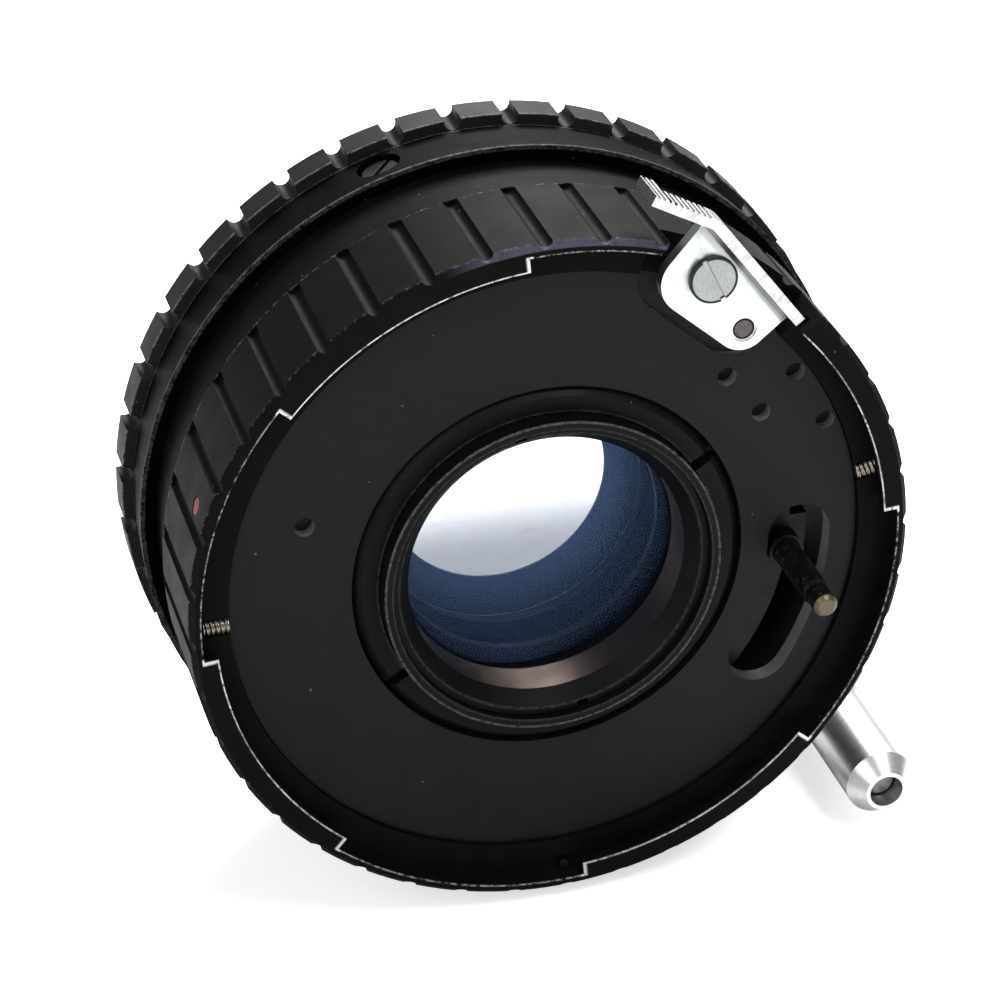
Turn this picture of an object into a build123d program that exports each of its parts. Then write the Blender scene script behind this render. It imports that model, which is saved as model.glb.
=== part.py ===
from build123d import *
from math import asin, cos, degrees, radians, sin
import os

os.makedirs("parts", exist_ok=True)

# A two-times teleconverter lying on its side, in millimetres.
# The optical axis lies along Y and the camera side faces -Y. The origin is on the axis,
# in the plane of the lens-side seating flange. Depths are counted from the camera-side
# seating ring towards the lens, and angles from +X towards +Z.

# Driving dimensions: optics
clear_aperture = 11.65
glass_land = 1.6
cell_wall = 0.75
cell_flange_width = 2.15
cell_flange_thickness = 1.0
cell_rear = 1.0
outer_nut_inset = 0.1
outer_nut_chamfer = 0.7
inner_nut_inset = 0.7
inner_nut_thickness = 1.5
inner_nut_bevel = 0.65
spanner_slot = 0.9
outer_slot_angle = 32.5
inner_slot_angle = 102.0
rear_spacer_length = 3.2
rear_glass_edge = 3.0
middle_spacer_length = 0.7
spacer_ledge = 0.25
positive_edge = 1.2
negative_edge = 2.6
shoulder_length = 1.9
shoulder_flare = 0.5
front_glass_land = 0.7
front_glass_edge = 1.8
front_ring_length = 1.0
front_ring_ledge = 2.05
rear_glass_curves = (-80.0, -110.0)
positive_curves = (90.0, 120.0)
negative_curves = (-120.0, -100.0)
front_glass_curves = (-100.0, 150.0)

# Driving dimensions: chassis and plate
seat_to_seat = 26.0
hub_wall = 0.75
hub_ledge = 1.45
chamber_gap = 1.8
drum_rim = 1.8
web_thickness = 2.0
cavity_depth = 7.5
floor_depth = 2.1
plate_step = 0.5
plate_thickness = 1.5
blind_depth = 1.0
blind_radius = 0.8
blind_inner_inset = 5.2
blind_outer_inset = 1.05
blind_inner_angles = (46.4, 33.7, 161.0)
blind_outer_angles = (36.3, 23.9)

# Driving dimensions: barrel and its four lugs
barrel_lip = 0.8
lug_step = 0.7
lug_count = 4
lug_angle = 27.5
lug_width = 45.0
lug_thickness = 1.1
groove_depth = 1.15
barrel_wall = 0.95
rear_edge_chamfer = 0.47
rear_chamfer = 0.5
band_recess = 0.45
band_step = 0.2
band_taper = 0.35
flute_count = 40
flute_phase = 2.2
flute_front = 11.2
flute_radius = 0.64
flute_depth = 0.42

# Driving dimensions: collar and grip
body_wall = 1.35
collar_length = 4.95
collar_step = 0.7
collar_taper = 0.4
collar_lip = 0.55
collar_edge = 0.2
flange_lip = 1.35
flange_thickness = 1.4
grip_wall = 1.35
grip_length = 3.0
grip_count = 40
grip_phase = 4.4
grip_radius = 0.72
grip_depth = 0.92

# Driving dimensions: lens-side bayonet
throat_step = 0.5
throat_edge = 0.3
bayonet_width = 6.1
bayonet_height = 2.0
bayonet_base = 1.6
claw_width = 43.0
claw_reach = 1.25
claw_thickness = 0.85

# Driving dimensions: aperture coupling
coupling_width = 4.1
coupling_thickness = 1.8
lobe_height = 1.5
lobe_half_angle = 7.0
coupling_travel = 25.0
pin_inset = 0.65
pin_angle = -5.0
pin_radius = 1.15
pin_tip_step = 0.15
pin_reach = 6.4
pin_tip_length = 2.2
pin_neck = 0.4
pin_collar_wall = 0.35
kidney_margin = 1.18
kidney_offset = 0.8
kidney_lead = 5.0
kidney_tail = 1.0
follower_angle = 8.0
follower_radius = 1.1
follower_foot = 0.8
paddle_thickness = 1.2
paddle_inner_step = 0.9
paddle_outer_step = 1.5
paddle_length = 4.6
nose_angle = 205.0
nose_half_angle = 4.0
stop_radius = 0.7
stop_inset = 0.4
stop_seat = 0.9
hook_inset = 0.8
hook_radius = 0.6
hook_reach = 3.4
hook_angle = 60.0
anchor_angle = 190.0
anchor_radius = 0.7
anchor_seat = 1.2
coupling_spring_radius = 0.75

# Driving dimensions: release lever, measured from its pivot along and across its fold
lever_angle = 63.86
lever_offset = 0.16
lever_turn = -52.0
lever_travel = 8.0
lever_rear = 0.6
lever_thickness = 1.1
fold_offset = 2.5
fold_near = -4.3
fold_far = 7.15
toe_near_x = -2.85
toe_near_y = -4.45
toe_far_x = 7.35
toe_far_y = -2.35
toe_near_fillet = 2.7
toe_far_fillet = 2.2
fold_slope = 0.5
fold_fillet = 0.4
fold_groove_depth = 0.2
tab_thickness = 0.9
tab_rear = 0.3
tab_depth = 4.0
tab_end = 8.2
tab_knee = -3.5
tab_tip_x = -8.8
tab_tip_y = 0.5
tab_bend = 1.6
rib_count = 10
rib_pitch = 0.52
rib_depth = 0.16
pivot_head = 1.95
pivot_head_height = 0.42
pivot_slot = 0.3
pivot_slot_turn = -12.0
pivot_shoulder = 1.2
pivot_shank = 0.7
pivot_shank_length = 4.9
pocket_margin = 1.3
pocket_depth = 0.5
ring_cut_near = -4.9
ring_cut_far = 9.1
ring_cut_inner = -6.0
ring_cut_outer = 8.0
tab_channel_near = 2.15
tab_channel_far = 0.88
tab_channel_gap = 0.7
lever_coil = 0.36
lever_coil_gap = 0.12
lock_pin_x = 5.5
lock_pin_y = -0.74
lock_pin_radius = 0.85
lock_pin_inset = 0.5
lock_dimple = 1.04
lock_dimple_depth = 0.15
lock_socket = 1.25
lock_socket_depth = 1.8

# Driving dimensions: shutter extension
arm_angle = -41.2
arm_step = 1.2
arm_thickness = 1.6
arm_margin = 1.05
arm_root_gap = 0.15
arm_screw_inset = 1.9
arm_screw_spread = 5.0
arm_screw_head = 1.15
arm_screw_head_height = 0.7
arm_screw_shank = 0.7
arm_screw_length = 3.4
ear_margin = 2.8
ear_thickness = 3.15
ear_corner = 1.0
bush_radius = 3.5
bush_gap = 1.5
bush_length = 4.15
bush_lip = 0.6
sleeve_step = 0.45
sleeve_wall = 0.5
sleeve_length = 15.25
sleeve_cone = 1.6
sleeve_nose = 0.35
sleeve_ledge = 1.05
spring_seat_inset = 7.5
rod_inset = 1.5
rod_play = 0.1
button_ledge = 0.5
button_foot_length = 1.85
button_edge = 0.4
button_reach = 4.7
plunger_wire = 0.22
plunger_coil_gap = 0.55

# Driving dimensions: small screws and marks
screw_slot_width = 0.4
screw_slot_depth = 0.35
collar_screw_count = 3
collar_screw_angle = 107.8
collar_screw_turn = 45.0
collar_screw_head = 1.5
collar_screw_recess = 1.88
collar_screw_shank = 0.9
collar_screw_sink = 0.3
collar_screw_head_height = 0.75
collar_screw_length = 2.55
set_screw_angles = (-178.5, 11.5)
set_screw_radius = 0.75
set_screw_length = 2.1
set_screw_sink = 0.25
bayonet_screw_count = 4
bayonet_screw_angle = 72.5
bayonet_screw_head = 1.45
bayonet_screw_head_height = 0.9
bayonet_screw_sink = 0.15
bayonet_screw_shank = 0.8
bayonet_screw_length = 4.3
dot_angle = 161.3
dot_depth = 3.5
dot_radius = 0.72
dot_thickness = 0.3
dot_sink = 0.05
mount_pin_angle = -87.7
mount_pin_inset = 0.6
mount_pin_radius = 0.4
mount_pin_rear = 1.3
mount_pin_length = 1.8

# Clearances
running = 0.05
seat_gap = 0.05
body_gap = 0.35
turn_gap = 0.15
over = 1.0

# Radii that follow from the sizes above, from the axis outwards
glass_outer = clear_aperture + glass_land
cell_bore = glass_outer + 2 * seat_gap
cell_outer = cell_bore + cell_wall
cell_flange = cell_outer + cell_flange_width
plate_hole = cell_flange + 3 * seat_gap
outer_nut = plate_hole - 2 * seat_gap
inner_nut_face = cell_bore - inner_nut_bevel
spacer_inner = clear_aperture - spacer_ledge
shoulder_lip = spacer_inner + shoulder_flare
front_glass_outer = clear_aperture + front_glass_land
front_stop = clear_aperture - front_ring_ledge
hub_outer = plate_hole + hub_wall
hub_shoulder = hub_outer + hub_ledge
coupling_inner = hub_outer + running
coupling_outer = coupling_inner + coupling_width
coupling_lobe = coupling_outer + lobe_height
pin_orbit = coupling_outer - pin_inset
pin_tip_radius = pin_radius - pin_tip_step
pin_collar = pin_radius + pin_collar_wall
kidney_orbit = pin_orbit + kidney_offset
kidney_half_width = pin_collar + kidney_margin
follower_orbit = hub_shoulder + body_gap + seat_gap + follower_radius
paddle_inner = follower_orbit - paddle_inner_step
paddle_outer = follower_orbit + paddle_outer_step
cavity_outer = paddle_outer + body_gap + seat_gap
throat = cavity_outer - throat_step
bayonet_root = throat + bayonet_width
bayonet_screw_orbit = throat + bayonet_width / 2
claw_outer = bayonet_root + claw_reach
hook_orbit = coupling_outer - hook_inset
stop_orbit = coupling_lobe - stop_inset
chamber_outer = coupling_lobe + chamber_gap
plate_outer = chamber_outer + drum_rim
barrel_bore = plate_outer + barrel_lip
lug_inner = barrel_bore + lug_step
lug_groove = lug_inner + groove_depth
barrel_outer = lug_groove + barrel_wall
rear_edge = barrel_outer - rear_edge_chamfer
band_outer = barrel_outer - band_recess
band_front = band_outer - band_taper
collar_outer = barrel_outer + collar_step
collar_front = collar_outer - collar_taper
grip_seat = barrel_bore + body_wall
flange_outer = grip_seat + flange_lip
grip_outer = flange_outer + grip_wall
arm_screw_orbit = collar_outer + arm_screw_inset
ear_reach = arm_screw_orbit + ear_margin
arm_radius = ear_reach + bush_gap + bush_radius
arm_end = bush_radius + arm_margin
arm_root = collar_outer + arm_root_gap
sleeve_outer = bush_radius - sleeve_step
spring_chamber = sleeve_outer - sleeve_wall
sleeve_hole = spring_chamber - sleeve_ledge
rod_radius = sleeve_hole - rod_play
button_foot = spring_chamber - running
button_radius = button_foot - button_ledge
plunger_coil = spring_chamber - plunger_coil_gap
collar_screw_floor = collar_front - collar_screw_sink - collar_screw_head_height
collar_screw_end = collar_screw_floor - collar_screw_length
lever_orbit = lug_inner + lever_offset
mount_pin_orbit = lug_inner + mount_pin_inset

# Depths that follow from the sizes above
plate_rear = floor_depth + plate_step
plate_front = plate_rear + plate_thickness
coupling_rear = plate_front + body_gap
coupling_front = coupling_rear + coupling_thickness
shoulder_depth = coupling_front + body_gap
web_front = seat_to_seat - cavity_depth
web_rear = web_front - web_thickness
paddle_rear = web_front + 2 * body_gap
paddle_front = paddle_rear + paddle_length
flange_rear = seat_to_seat - flange_thickness
grip_front = seat_to_seat - seat_gap
grip_rear = grip_front - grip_length
collar_end = grip_rear - seat_gap
collar_rear = collar_end - collar_length
barrel_length = collar_rear - seat_gap
bayonet_front = seat_to_seat + bayonet_height
bayonet_rear = seat_to_seat - bayonet_base
cell_seat = plate_front + cell_flange_thickness
outer_nut_rear = plate_rear - outer_nut_inset
inner_nut_rear = cell_rear + inner_nut_inset
spacer_rear = inner_nut_rear + inner_nut_thickness
spacer_front = spacer_rear + rear_spacer_length
middle_rear = spacer_front + rear_glass_edge
positive_rear = middle_rear + middle_spacer_length
negative_rear = positive_rear + positive_edge
shoulder_rear = negative_rear + negative_edge
shoulder_front = shoulder_rear + shoulder_length
front_ring_rear = shoulder_front + front_glass_edge
cell_front = front_ring_rear + front_ring_length
lever_front = lever_rear + lever_thickness
pocket_floor = plate_rear + pocket_depth
tab_front = tab_rear + tab_depth
tab_channel_floor = tab_front + tab_channel_gap
pivot_front = pocket_floor + pivot_shank_length
lock_pin_front = plate_front - lock_pin_inset
set_screw_depth = floor_depth + set_screw_sink
mount_pin_front = mount_pin_rear + mount_pin_length
collar_screw_depth = (collar_rear + collar_end) / 2
arm_rear = collar_rear - arm_step
arm_front = arm_rear + arm_thickness
ear_front = arm_front + ear_thickness
bush_front = arm_front + bush_length
sleeve_rear = arm_rear - sleeve_length
spring_seat = sleeve_rear + spring_seat_inset
rod_tip = sleeve_rear + rod_inset
button_foot_front = bush_front - bush_lip - turn_gap
button_rear = button_foot_front - button_foot_length
button_front = bush_front + button_reach

# Angles and lengths that follow from the sizes above
kidney_start = pin_angle + kidney_lead
kidney_end = pin_angle - coupling_travel - kidney_tail
stop_swing = degrees((stop_radius + turn_gap) / stop_orbit)
stop_angles = (
    nose_angle + nose_half_angle + stop_swing,
    nose_angle - nose_half_angle - coupling_travel - stop_swing,
)
lock_reach = (lock_pin_x ** 2 + lock_pin_y ** 2) ** 0.5
lock_angle = degrees(asin(lock_pin_y / lock_reach))
tab_line = fold_offset + tab_thickness / 2
lever_corners = (
    (fold_near, fold_offset), (toe_near_x, toe_near_y), (toe_far_x, toe_far_y), (fold_far, fold_offset),
)


# Helpers

def y_of(depth):
    """Y of a depth that is counted from the camera-side seating ring."""
    return depth - seat_to_seat


def section(depth):
    """Plane across the axis at a depth. Extrusions from it run towards the camera side."""
    return Plane.XZ.offset(-y_of(depth))


def on_circle(radius, angle):
    """Place on a section, from a radius and an angle in degrees."""
    return (radius * cos(radians(angle)), radius * sin(radians(angle)))


def turned(points):
    """Closed half profile of a turned piece, from radius and depth pairs."""
    with BuildSketch() as profile:
        with BuildLine():
            Polyline([(radius, y_of(depth)) for radius, depth in points], close=True)
        make_face()
    return profile.sketch


def beside(place):
    """Plane through the length of a small turned piece that stands beside the optical axis."""
    return Plane(origin=(place[0], 0, place[1]))


def length_axis(place):
    """Axis of such a piece."""
    return Axis((place[0], 0, place[1]), (0, 1, 0))


def sector(inner, outer, middle, width):
    """Part of a ring, centred on an angle."""
    with BuildSketch() as shape:
        with BuildLine():
            near = CenterArc((0, 0), inner, middle - width / 2, width)
            far = CenterArc((0, 0), outer, middle - width / 2, width)
            Line(near @ 0, far @ 0)
            Line(near @ 1, far @ 1)
        make_face()
    return shape.sketch


def arc_slot(orbit, half_width, first, last):
    """Slot with round ends along an arc about the origin."""
    with BuildSketch() as shape:
        with BuildLine(mode=Mode.PRIVATE):
            path = CenterArc((0, 0), orbit, min(first, last), abs(last - first))
        SlotArc(path, 2 * half_width)
    return shape.sketch


def radial_plane(radius, angle, depth):
    """Plane that faces away from the axis, at a radius, an angle and a depth."""
    x, z = on_circle(radius, angle)
    return Plane(origin=(x, y_of(depth), z), x_dir=(0, 1, 0), z_dir=(x, 0, z))


def lever_plane(depth):
    """Section plane with its origin on the lever's pivot and X along the lever's fold."""
    along = on_circle(1, lever_turn)
    x, z = on_circle(lever_orbit, lever_angle)
    return Plane(origin=(x, y_of(depth), z), x_dir=(along[0], 0, along[1]), z_dir=(0, -1, 0))


def fold_plane(along):
    """Plane across the lever's fold, with X towards the tab and Y towards the camera."""
    plate = lever_plane(lever_rear)
    return Plane(
        origin=plate.from_local_coords((along, fold_offset, 0)), x_dir=plate.y_dir, z_dir=plate.x_dir,
    )


def arm_plane(depth):
    """Section plane with X pointing out along the arm."""
    along = on_circle(1, arm_angle)
    return Plane(origin=(0, y_of(depth), 0), x_dir=(along[0], 0, along[1]), z_dir=(0, -1, 0))


def lever_outline():
    """Outline of the lever's flat plate."""
    with BuildSketch() as shape:
        with BuildLine():
            Polyline(*lever_corners, close=True)
        make_face()
        fillet(shape.vertices().sort_by_distance(lever_corners[1])[0], toe_near_fillet)
        fillet(shape.vertices().sort_by_distance(lever_corners[2])[0], toe_far_fillet)
    return shape.sketch


def lever_pocket():
    """Outline of the pocket that the lever's plate swings in."""
    with BuildSketch() as shape:
        add(lever_outline())
        offset(amount=pocket_margin)
    return shape.sketch


def tab_channel():
    """Outline of the flat that clears the lever's folded tab."""
    with BuildSketch() as shape:
        with BuildLine():
            Polyline(
                (ring_cut_near, ring_cut_outer), (ring_cut_near, tab_channel_near), (0, tab_channel_near),
                (ring_cut_far, tab_channel_far), (ring_cut_far, ring_cut_outer), close=True,
            )
        make_face()
    return shape.sketch


def lock_slot():
    """Slot that the lock pin swings in, about the lever's pivot."""
    return arc_slot(lock_reach, lock_pin_radius + body_gap, lock_angle, lock_angle + lever_travel)


def arm_outline():
    """Outline of the arm, from the collar to its rounded end."""
    with BuildSketch() as shape:
        with Locations((arm_radius, 0)):
            Circle(arm_end)
        with Locations(((arm_root + arm_radius) / 2, 0)):
            Rectangle(arm_radius - arm_root, 2 * arm_end)
        Circle(band_front + body_gap, mode=Mode.SUBTRACT)
    return shape.sketch


def sag(curve, radius):
    """Depth of a round glass face at its middle: above zero where it bulges out."""
    depth = abs(curve) - (curve ** 2 - radius ** 2) ** 0.5
    return depth if curve > 0 else -depth


def lens(outer, clear, rear, front, curves):
    """Half profile of a lens with a flat land round each face. Curves are the rear and front radii."""
    rear_bulge = sag(curves[0], clear)
    front_bulge = sag(curves[1], clear)
    rear_half = sag(curves[0], clear / 2)
    front_half = sag(curves[1], clear / 2)
    with BuildSketch() as profile:
        with BuildLine():
            rear_arc = ThreePointArc(
                (0, y_of(rear - rear_bulge)),
                (clear / 2, y_of(rear - rear_bulge + rear_half)),
                (clear, y_of(rear)),
            )
            front_arc = ThreePointArc(
                (clear, y_of(front)),
                (clear / 2, y_of(front + front_bulge - front_half)),
                (0, y_of(front + front_bulge)),
            )
            Polyline(rear_arc @ 1, (outer, y_of(rear)), (outer, y_of(front)), front_arc @ 0)
            Line(front_arc @ 1, rear_arc @ 0)
        make_face()
    return profile.sketch


# Casing

with BuildPart() as outer_barrel:
    revolve(turned([
        (lug_inner, 0), (rear_edge, 0), (barrel_outer, rear_chamfer), (barrel_outer, flute_front),
        (band_outer, flute_front + band_step), (band_front, barrel_length), (barrel_bore, barrel_length),
        (barrel_bore, plate_front), (plate_outer + seat_gap, plate_front),
        (plate_outer + seat_gap, floor_depth), (lug_groove, floor_depth), (lug_groove, lug_thickness),
        (lug_inner, lug_thickness),
    ]), axis=Axis.Y)
    with BuildSketch(section(lug_thickness)):
        for lug in range(lug_count):
            gap_angle = lug_angle + (lug + 0.5) * 360 / lug_count
            add(sector(lug_inner - over, lug_groove, gap_angle, 360 / lug_count - lug_width))
    extrude(amount=lug_thickness + over, mode=Mode.SUBTRACT)
    with BuildSketch(section(flute_front)):
        with PolarLocations(barrel_outer - flute_depth + flute_radius, flute_count, start_angle=flute_phase):
            Circle(flute_radius)
    extrude(amount=flute_front + over, mode=Mode.SUBTRACT)
    with BuildSketch(lever_plane(floor_depth)):
        with Locations(((ring_cut_near + ring_cut_far) / 2, (ring_cut_inner + ring_cut_outer) / 2)):
            Rectangle(ring_cut_far - ring_cut_near, ring_cut_outer - ring_cut_inner)
    extrude(amount=floor_depth + over, mode=Mode.SUBTRACT)
    with BuildSketch(lever_plane(tab_channel_floor)):
        add(tab_channel())
    extrude(amount=tab_channel_floor + over, mode=Mode.SUBTRACT)
    with BuildSketch(lever_plane(pocket_floor)):
        add(lever_pocket())
    extrude(amount=pocket_floor + over, mode=Mode.SUBTRACT)
    with BuildSketch(lever_plane(plate_front + over)):
        add(lock_slot())
    extrude(amount=plate_front + 2 * over, mode=Mode.SUBTRACT)
    with BuildSketch(lever_plane(pivot_front + seat_gap)):
        Circle(pivot_shank + seat_gap)
    extrude(amount=pivot_front + over, mode=Mode.SUBTRACT)
    with BuildSketch(radial_plane(barrel_outer + over, dot_angle, dot_depth)):
        Circle(dot_radius + seat_gap)
    extrude(amount=-(over + dot_sink + dot_thickness), mode=Mode.SUBTRACT)
    for angle in set_screw_angles:
        with BuildSketch(radial_plane(lug_groove, angle, set_screw_depth)):
            Circle(set_screw_radius + seat_gap)
        extrude(amount=plate_outer - lug_groove, mode=Mode.SUBTRACT)
    with BuildSketch(section(mount_pin_front)):
        with Locations(on_circle(mount_pin_orbit, mount_pin_angle)):
            Circle(mount_pin_radius + seat_gap)
    extrude(amount=mount_pin_front - mount_pin_rear, mode=Mode.SUBTRACT)
outer_barrel.part.label = "outer_barrel"
export_step(outer_barrel.part, "parts/outer_barrel.step")

with BuildPart() as main_body:
    revolve(turned([
        (cell_outer + seat_gap, cell_seat), (cell_flange + 2 * seat_gap, cell_seat),
        (cell_flange + 2 * seat_gap, plate_front), (hub_outer, plate_front), (hub_outer, shoulder_depth),
        (hub_shoulder, shoulder_depth), (hub_shoulder, web_rear), (chamber_outer, web_rear),
        (chamber_outer, plate_front), (barrel_bore - seat_gap, plate_front),
        (barrel_bore - seat_gap, collar_rear), (grip_seat - seat_gap, collar_rear),
        (grip_seat - seat_gap, flange_rear), (flange_outer, flange_rear), (flange_outer, seat_to_seat),
        (bayonet_root + seat_gap, seat_to_seat), (bayonet_root + seat_gap, bayonet_rear),
        (cavity_outer, bayonet_rear), (cavity_outer, web_front), (cell_outer + seat_gap, web_front),
    ]), axis=Axis.Y)
    with BuildSketch(section(web_front + over)):
        add(arc_slot(
            follower_orbit, follower_radius + body_gap, follower_angle, follower_angle - coupling_travel,
        ))
    extrude(amount=web_thickness + 2 * over, mode=Mode.SUBTRACT)
    with BuildSketch(section(web_rear + anchor_seat)):
        with Locations(on_circle(hook_orbit, anchor_angle)):
            Circle(anchor_radius + seat_gap)
    extrude(amount=anchor_seat, mode=Mode.SUBTRACT)
    with BuildSketch(lever_plane(tab_channel_floor)):
        add(tab_channel())
    extrude(amount=tab_channel_floor, mode=Mode.SUBTRACT)
    with BuildSketch(section(bayonet_rear)):
        with PolarLocations(bayonet_screw_orbit, bayonet_screw_count, start_angle=bayonet_screw_angle):
            Circle(bayonet_screw_shank + seat_gap)
    extrude(amount=bayonet_screw_sink + bayonet_screw_head_height + bayonet_screw_length + seat_gap
            - bayonet_front + bayonet_rear, mode=Mode.SUBTRACT)
    for screw in range(collar_screw_count):
        angle = collar_screw_angle + screw * 360 / collar_screw_count
        with BuildSketch(radial_plane(collar_screw_end - seat_gap, angle, collar_screw_depth)):
            Circle(collar_screw_shank + seat_gap)
        extrude(amount=collar_screw_length, mode=Mode.SUBTRACT)
main_body.part.label = "main_body"
export_step(main_body.part, "parts/main_body.step")

with BuildPart() as rear_plate:
    with BuildSketch(section(plate_front)):
        Circle(plate_outer)
        Circle(plate_hole, mode=Mode.SUBTRACT)
        add(arc_slot(kidney_orbit, kidney_half_width, kidney_start, kidney_end), mode=Mode.SUBTRACT)
    extrude(amount=plate_thickness)
    with BuildSketch(lever_plane(pocket_floor)):
        add(lever_pocket())
    extrude(amount=pocket_floor, mode=Mode.SUBTRACT)
    with BuildSketch(lever_plane(plate_front + over)):
        add(lock_slot())
        with Locations((0, 0)):
            Circle(pivot_shoulder + body_gap)
    extrude(amount=plate_front, mode=Mode.SUBTRACT)
    with BuildSketch(section(plate_rear + blind_depth)):
        for angle in blind_inner_angles:
            with Locations(on_circle(plate_outer - blind_inner_inset, angle)):
                Circle(blind_radius)
        for angle in blind_outer_angles:
            with Locations(on_circle(plate_outer - blind_outer_inset, angle)):
                Circle(blind_radius)
    extrude(amount=blind_depth, mode=Mode.SUBTRACT)
    with BuildSketch(section(plate_front)):
        for angle in stop_angles:
            with Locations(on_circle(stop_orbit, angle)):
                Circle(stop_radius + seat_gap)
    extrude(amount=stop_seat, mode=Mode.SUBTRACT)
rear_plate.part.label = "rear_plate"
export_step(rear_plate.part, "parts/rear_plate.step")

with BuildPart() as cone_collar:
    revolve(turned([
        (grip_seat, collar_rear), (band_front + seat_gap, collar_rear),
        (collar_outer, collar_rear - collar_lip), (collar_outer, collar_rear - collar_lip + collar_edge),
        (collar_front, collar_end), (grip_seat, collar_end),
    ]), axis=Axis.Y)
    with BuildSketch(arm_plane(ear_front)):
        with Locations(((collar_front - ear_corner + ear_reach) / 2, 0)):
            RectangleRounded(ear_reach - collar_front + ear_corner, 2 * arm_end, ear_corner)
        Circle(collar_front - ear_corner / 2, mode=Mode.SUBTRACT)
    extrude(amount=ear_front - arm_front)
    with BuildSketch(arm_plane(arm_front)):
        add(arm_outline())
        offset(amount=seat_gap)
    extrude(amount=arm_thickness, mode=Mode.SUBTRACT)
    with BuildSketch(arm_plane(arm_rear + arm_screw_length + seat_gap)):
        with Locations((arm_screw_orbit, arm_screw_spread / 2), (arm_screw_orbit, -arm_screw_spread / 2)):
            Circle(arm_screw_shank + seat_gap)
    extrude(amount=arm_screw_length, mode=Mode.SUBTRACT)
    for screw in range(collar_screw_count):
        angle = collar_screw_angle + screw * 360 / collar_screw_count
        with BuildSketch(radial_plane(collar_screw_floor, angle, collar_screw_depth)):
            Circle(collar_screw_recess)
        extrude(amount=collar_screw_head_height + over, mode=Mode.SUBTRACT)
        with BuildSketch(radial_plane(collar_screw_floor, angle, collar_screw_depth)):
            Circle(collar_screw_shank + seat_gap)
        extrude(amount=-collar_screw_length, mode=Mode.SUBTRACT)
cone_collar.part.label = "cone_collar"
export_step(cone_collar.part, "parts/cone_collar.step")

with BuildPart() as grip_ring:
    revolve(turned([
        (grip_seat, grip_rear), (grip_outer, grip_rear), (grip_outer, grip_front),
        (flange_outer + seat_gap, grip_front), (flange_outer + seat_gap, flange_rear - seat_gap),
        (grip_seat, flange_rear - seat_gap),
    ]), axis=Axis.Y)
    with BuildSketch(section(grip_front)):
        with PolarLocations(grip_outer - grip_depth + grip_radius, grip_count, start_angle=grip_phase):
            Circle(grip_radius)
    extrude(amount=grip_length, mode=Mode.SUBTRACT)
grip_ring.part.label = "grip_ring"
export_step(grip_ring.part, "parts/grip_ring.step")

with BuildPart() as collar_screws:
    for screw in range(collar_screw_count):
        angle = collar_screw_angle + screw * 360 / collar_screw_count
        with BuildSketch(radial_plane(collar_screw_floor, angle, collar_screw_depth)):
            Circle(collar_screw_head)
        extrude(amount=collar_screw_head_height)
        with BuildSketch(radial_plane(collar_screw_floor, angle, collar_screw_depth)):
            Circle(collar_screw_shank)
        extrude(amount=-collar_screw_length)
        with BuildSketch(radial_plane(collar_front - collar_screw_sink, angle, collar_screw_depth)):
            Rectangle(screw_slot_width, 2 * collar_screw_head, rotation=collar_screw_turn)
        extrude(amount=-screw_slot_depth, mode=Mode.SUBTRACT)
collar_screws.part.label = "collar_screws"
export_step(collar_screws.part, "parts/collar_screws.step")

with BuildPart() as barrel_set_screws:
    for angle in set_screw_angles:
        with BuildSketch(radial_plane(plate_outer + 2 * seat_gap, angle, set_screw_depth)):
            Circle(set_screw_radius)
        extrude(amount=set_screw_length)
barrel_set_screws.part.label = "barrel_set_screws"
export_step(barrel_set_screws.part, "parts/barrel_set_screws.step")

with BuildPart() as index_dot:
    with BuildSketch(radial_plane(barrel_outer - dot_sink, dot_angle, dot_depth)):
        Circle(dot_radius)
    extrude(amount=-dot_thickness)
index_dot.part.label = "index_dot"
export_step(index_dot.part, "parts/index_dot.step")

with BuildPart() as mount_stop_pin:
    with BuildSketch(section(mount_pin_front)):
        with Locations(on_circle(mount_pin_orbit, mount_pin_angle)):
            Circle(mount_pin_radius)
    extrude(amount=mount_pin_front - mount_pin_rear)
mount_stop_pin.part.label = "mount_stop_pin"
export_step(mount_stop_pin.part, "parts/mount_stop_pin.step")

# Lens-side mount

with BuildPart() as front_bayonet:
    revolve(turned([
        (throat, bayonet_rear), (bayonet_root, bayonet_rear), (bayonet_root, bayonet_front),
        (throat + throat_edge, bayonet_front), (throat, bayonet_front - throat_edge),
    ]), axis=Axis.Y)
    with BuildSketch(section(bayonet_front)):
        for lug in range(lug_count):
            add(sector(bayonet_root - over, claw_outer, lug_angle + lug * 360 / lug_count, claw_width))
    extrude(amount=claw_thickness)
    with BuildSketch(section(bayonet_front)):
        with PolarLocations(bayonet_screw_orbit, bayonet_screw_count, start_angle=bayonet_screw_angle):
            Circle(bayonet_screw_head + seat_gap)
    extrude(amount=bayonet_screw_head_height + bayonet_screw_sink, mode=Mode.SUBTRACT)
    with BuildSketch(section(bayonet_front)):
        with PolarLocations(bayonet_screw_orbit, bayonet_screw_count, start_angle=bayonet_screw_angle):
            Circle(bayonet_screw_shank + seat_gap)
    extrude(amount=bayonet_base + bayonet_height, mode=Mode.SUBTRACT)
    with BuildSketch(lever_plane(bayonet_front)):
        with Locations((lock_pin_x, lock_pin_y)):
            Circle(lock_socket)
    extrude(amount=lock_socket_depth, mode=Mode.SUBTRACT)
front_bayonet.part.label = "front_bayonet"
export_step(front_bayonet.part, "parts/front_bayonet.step")

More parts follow.
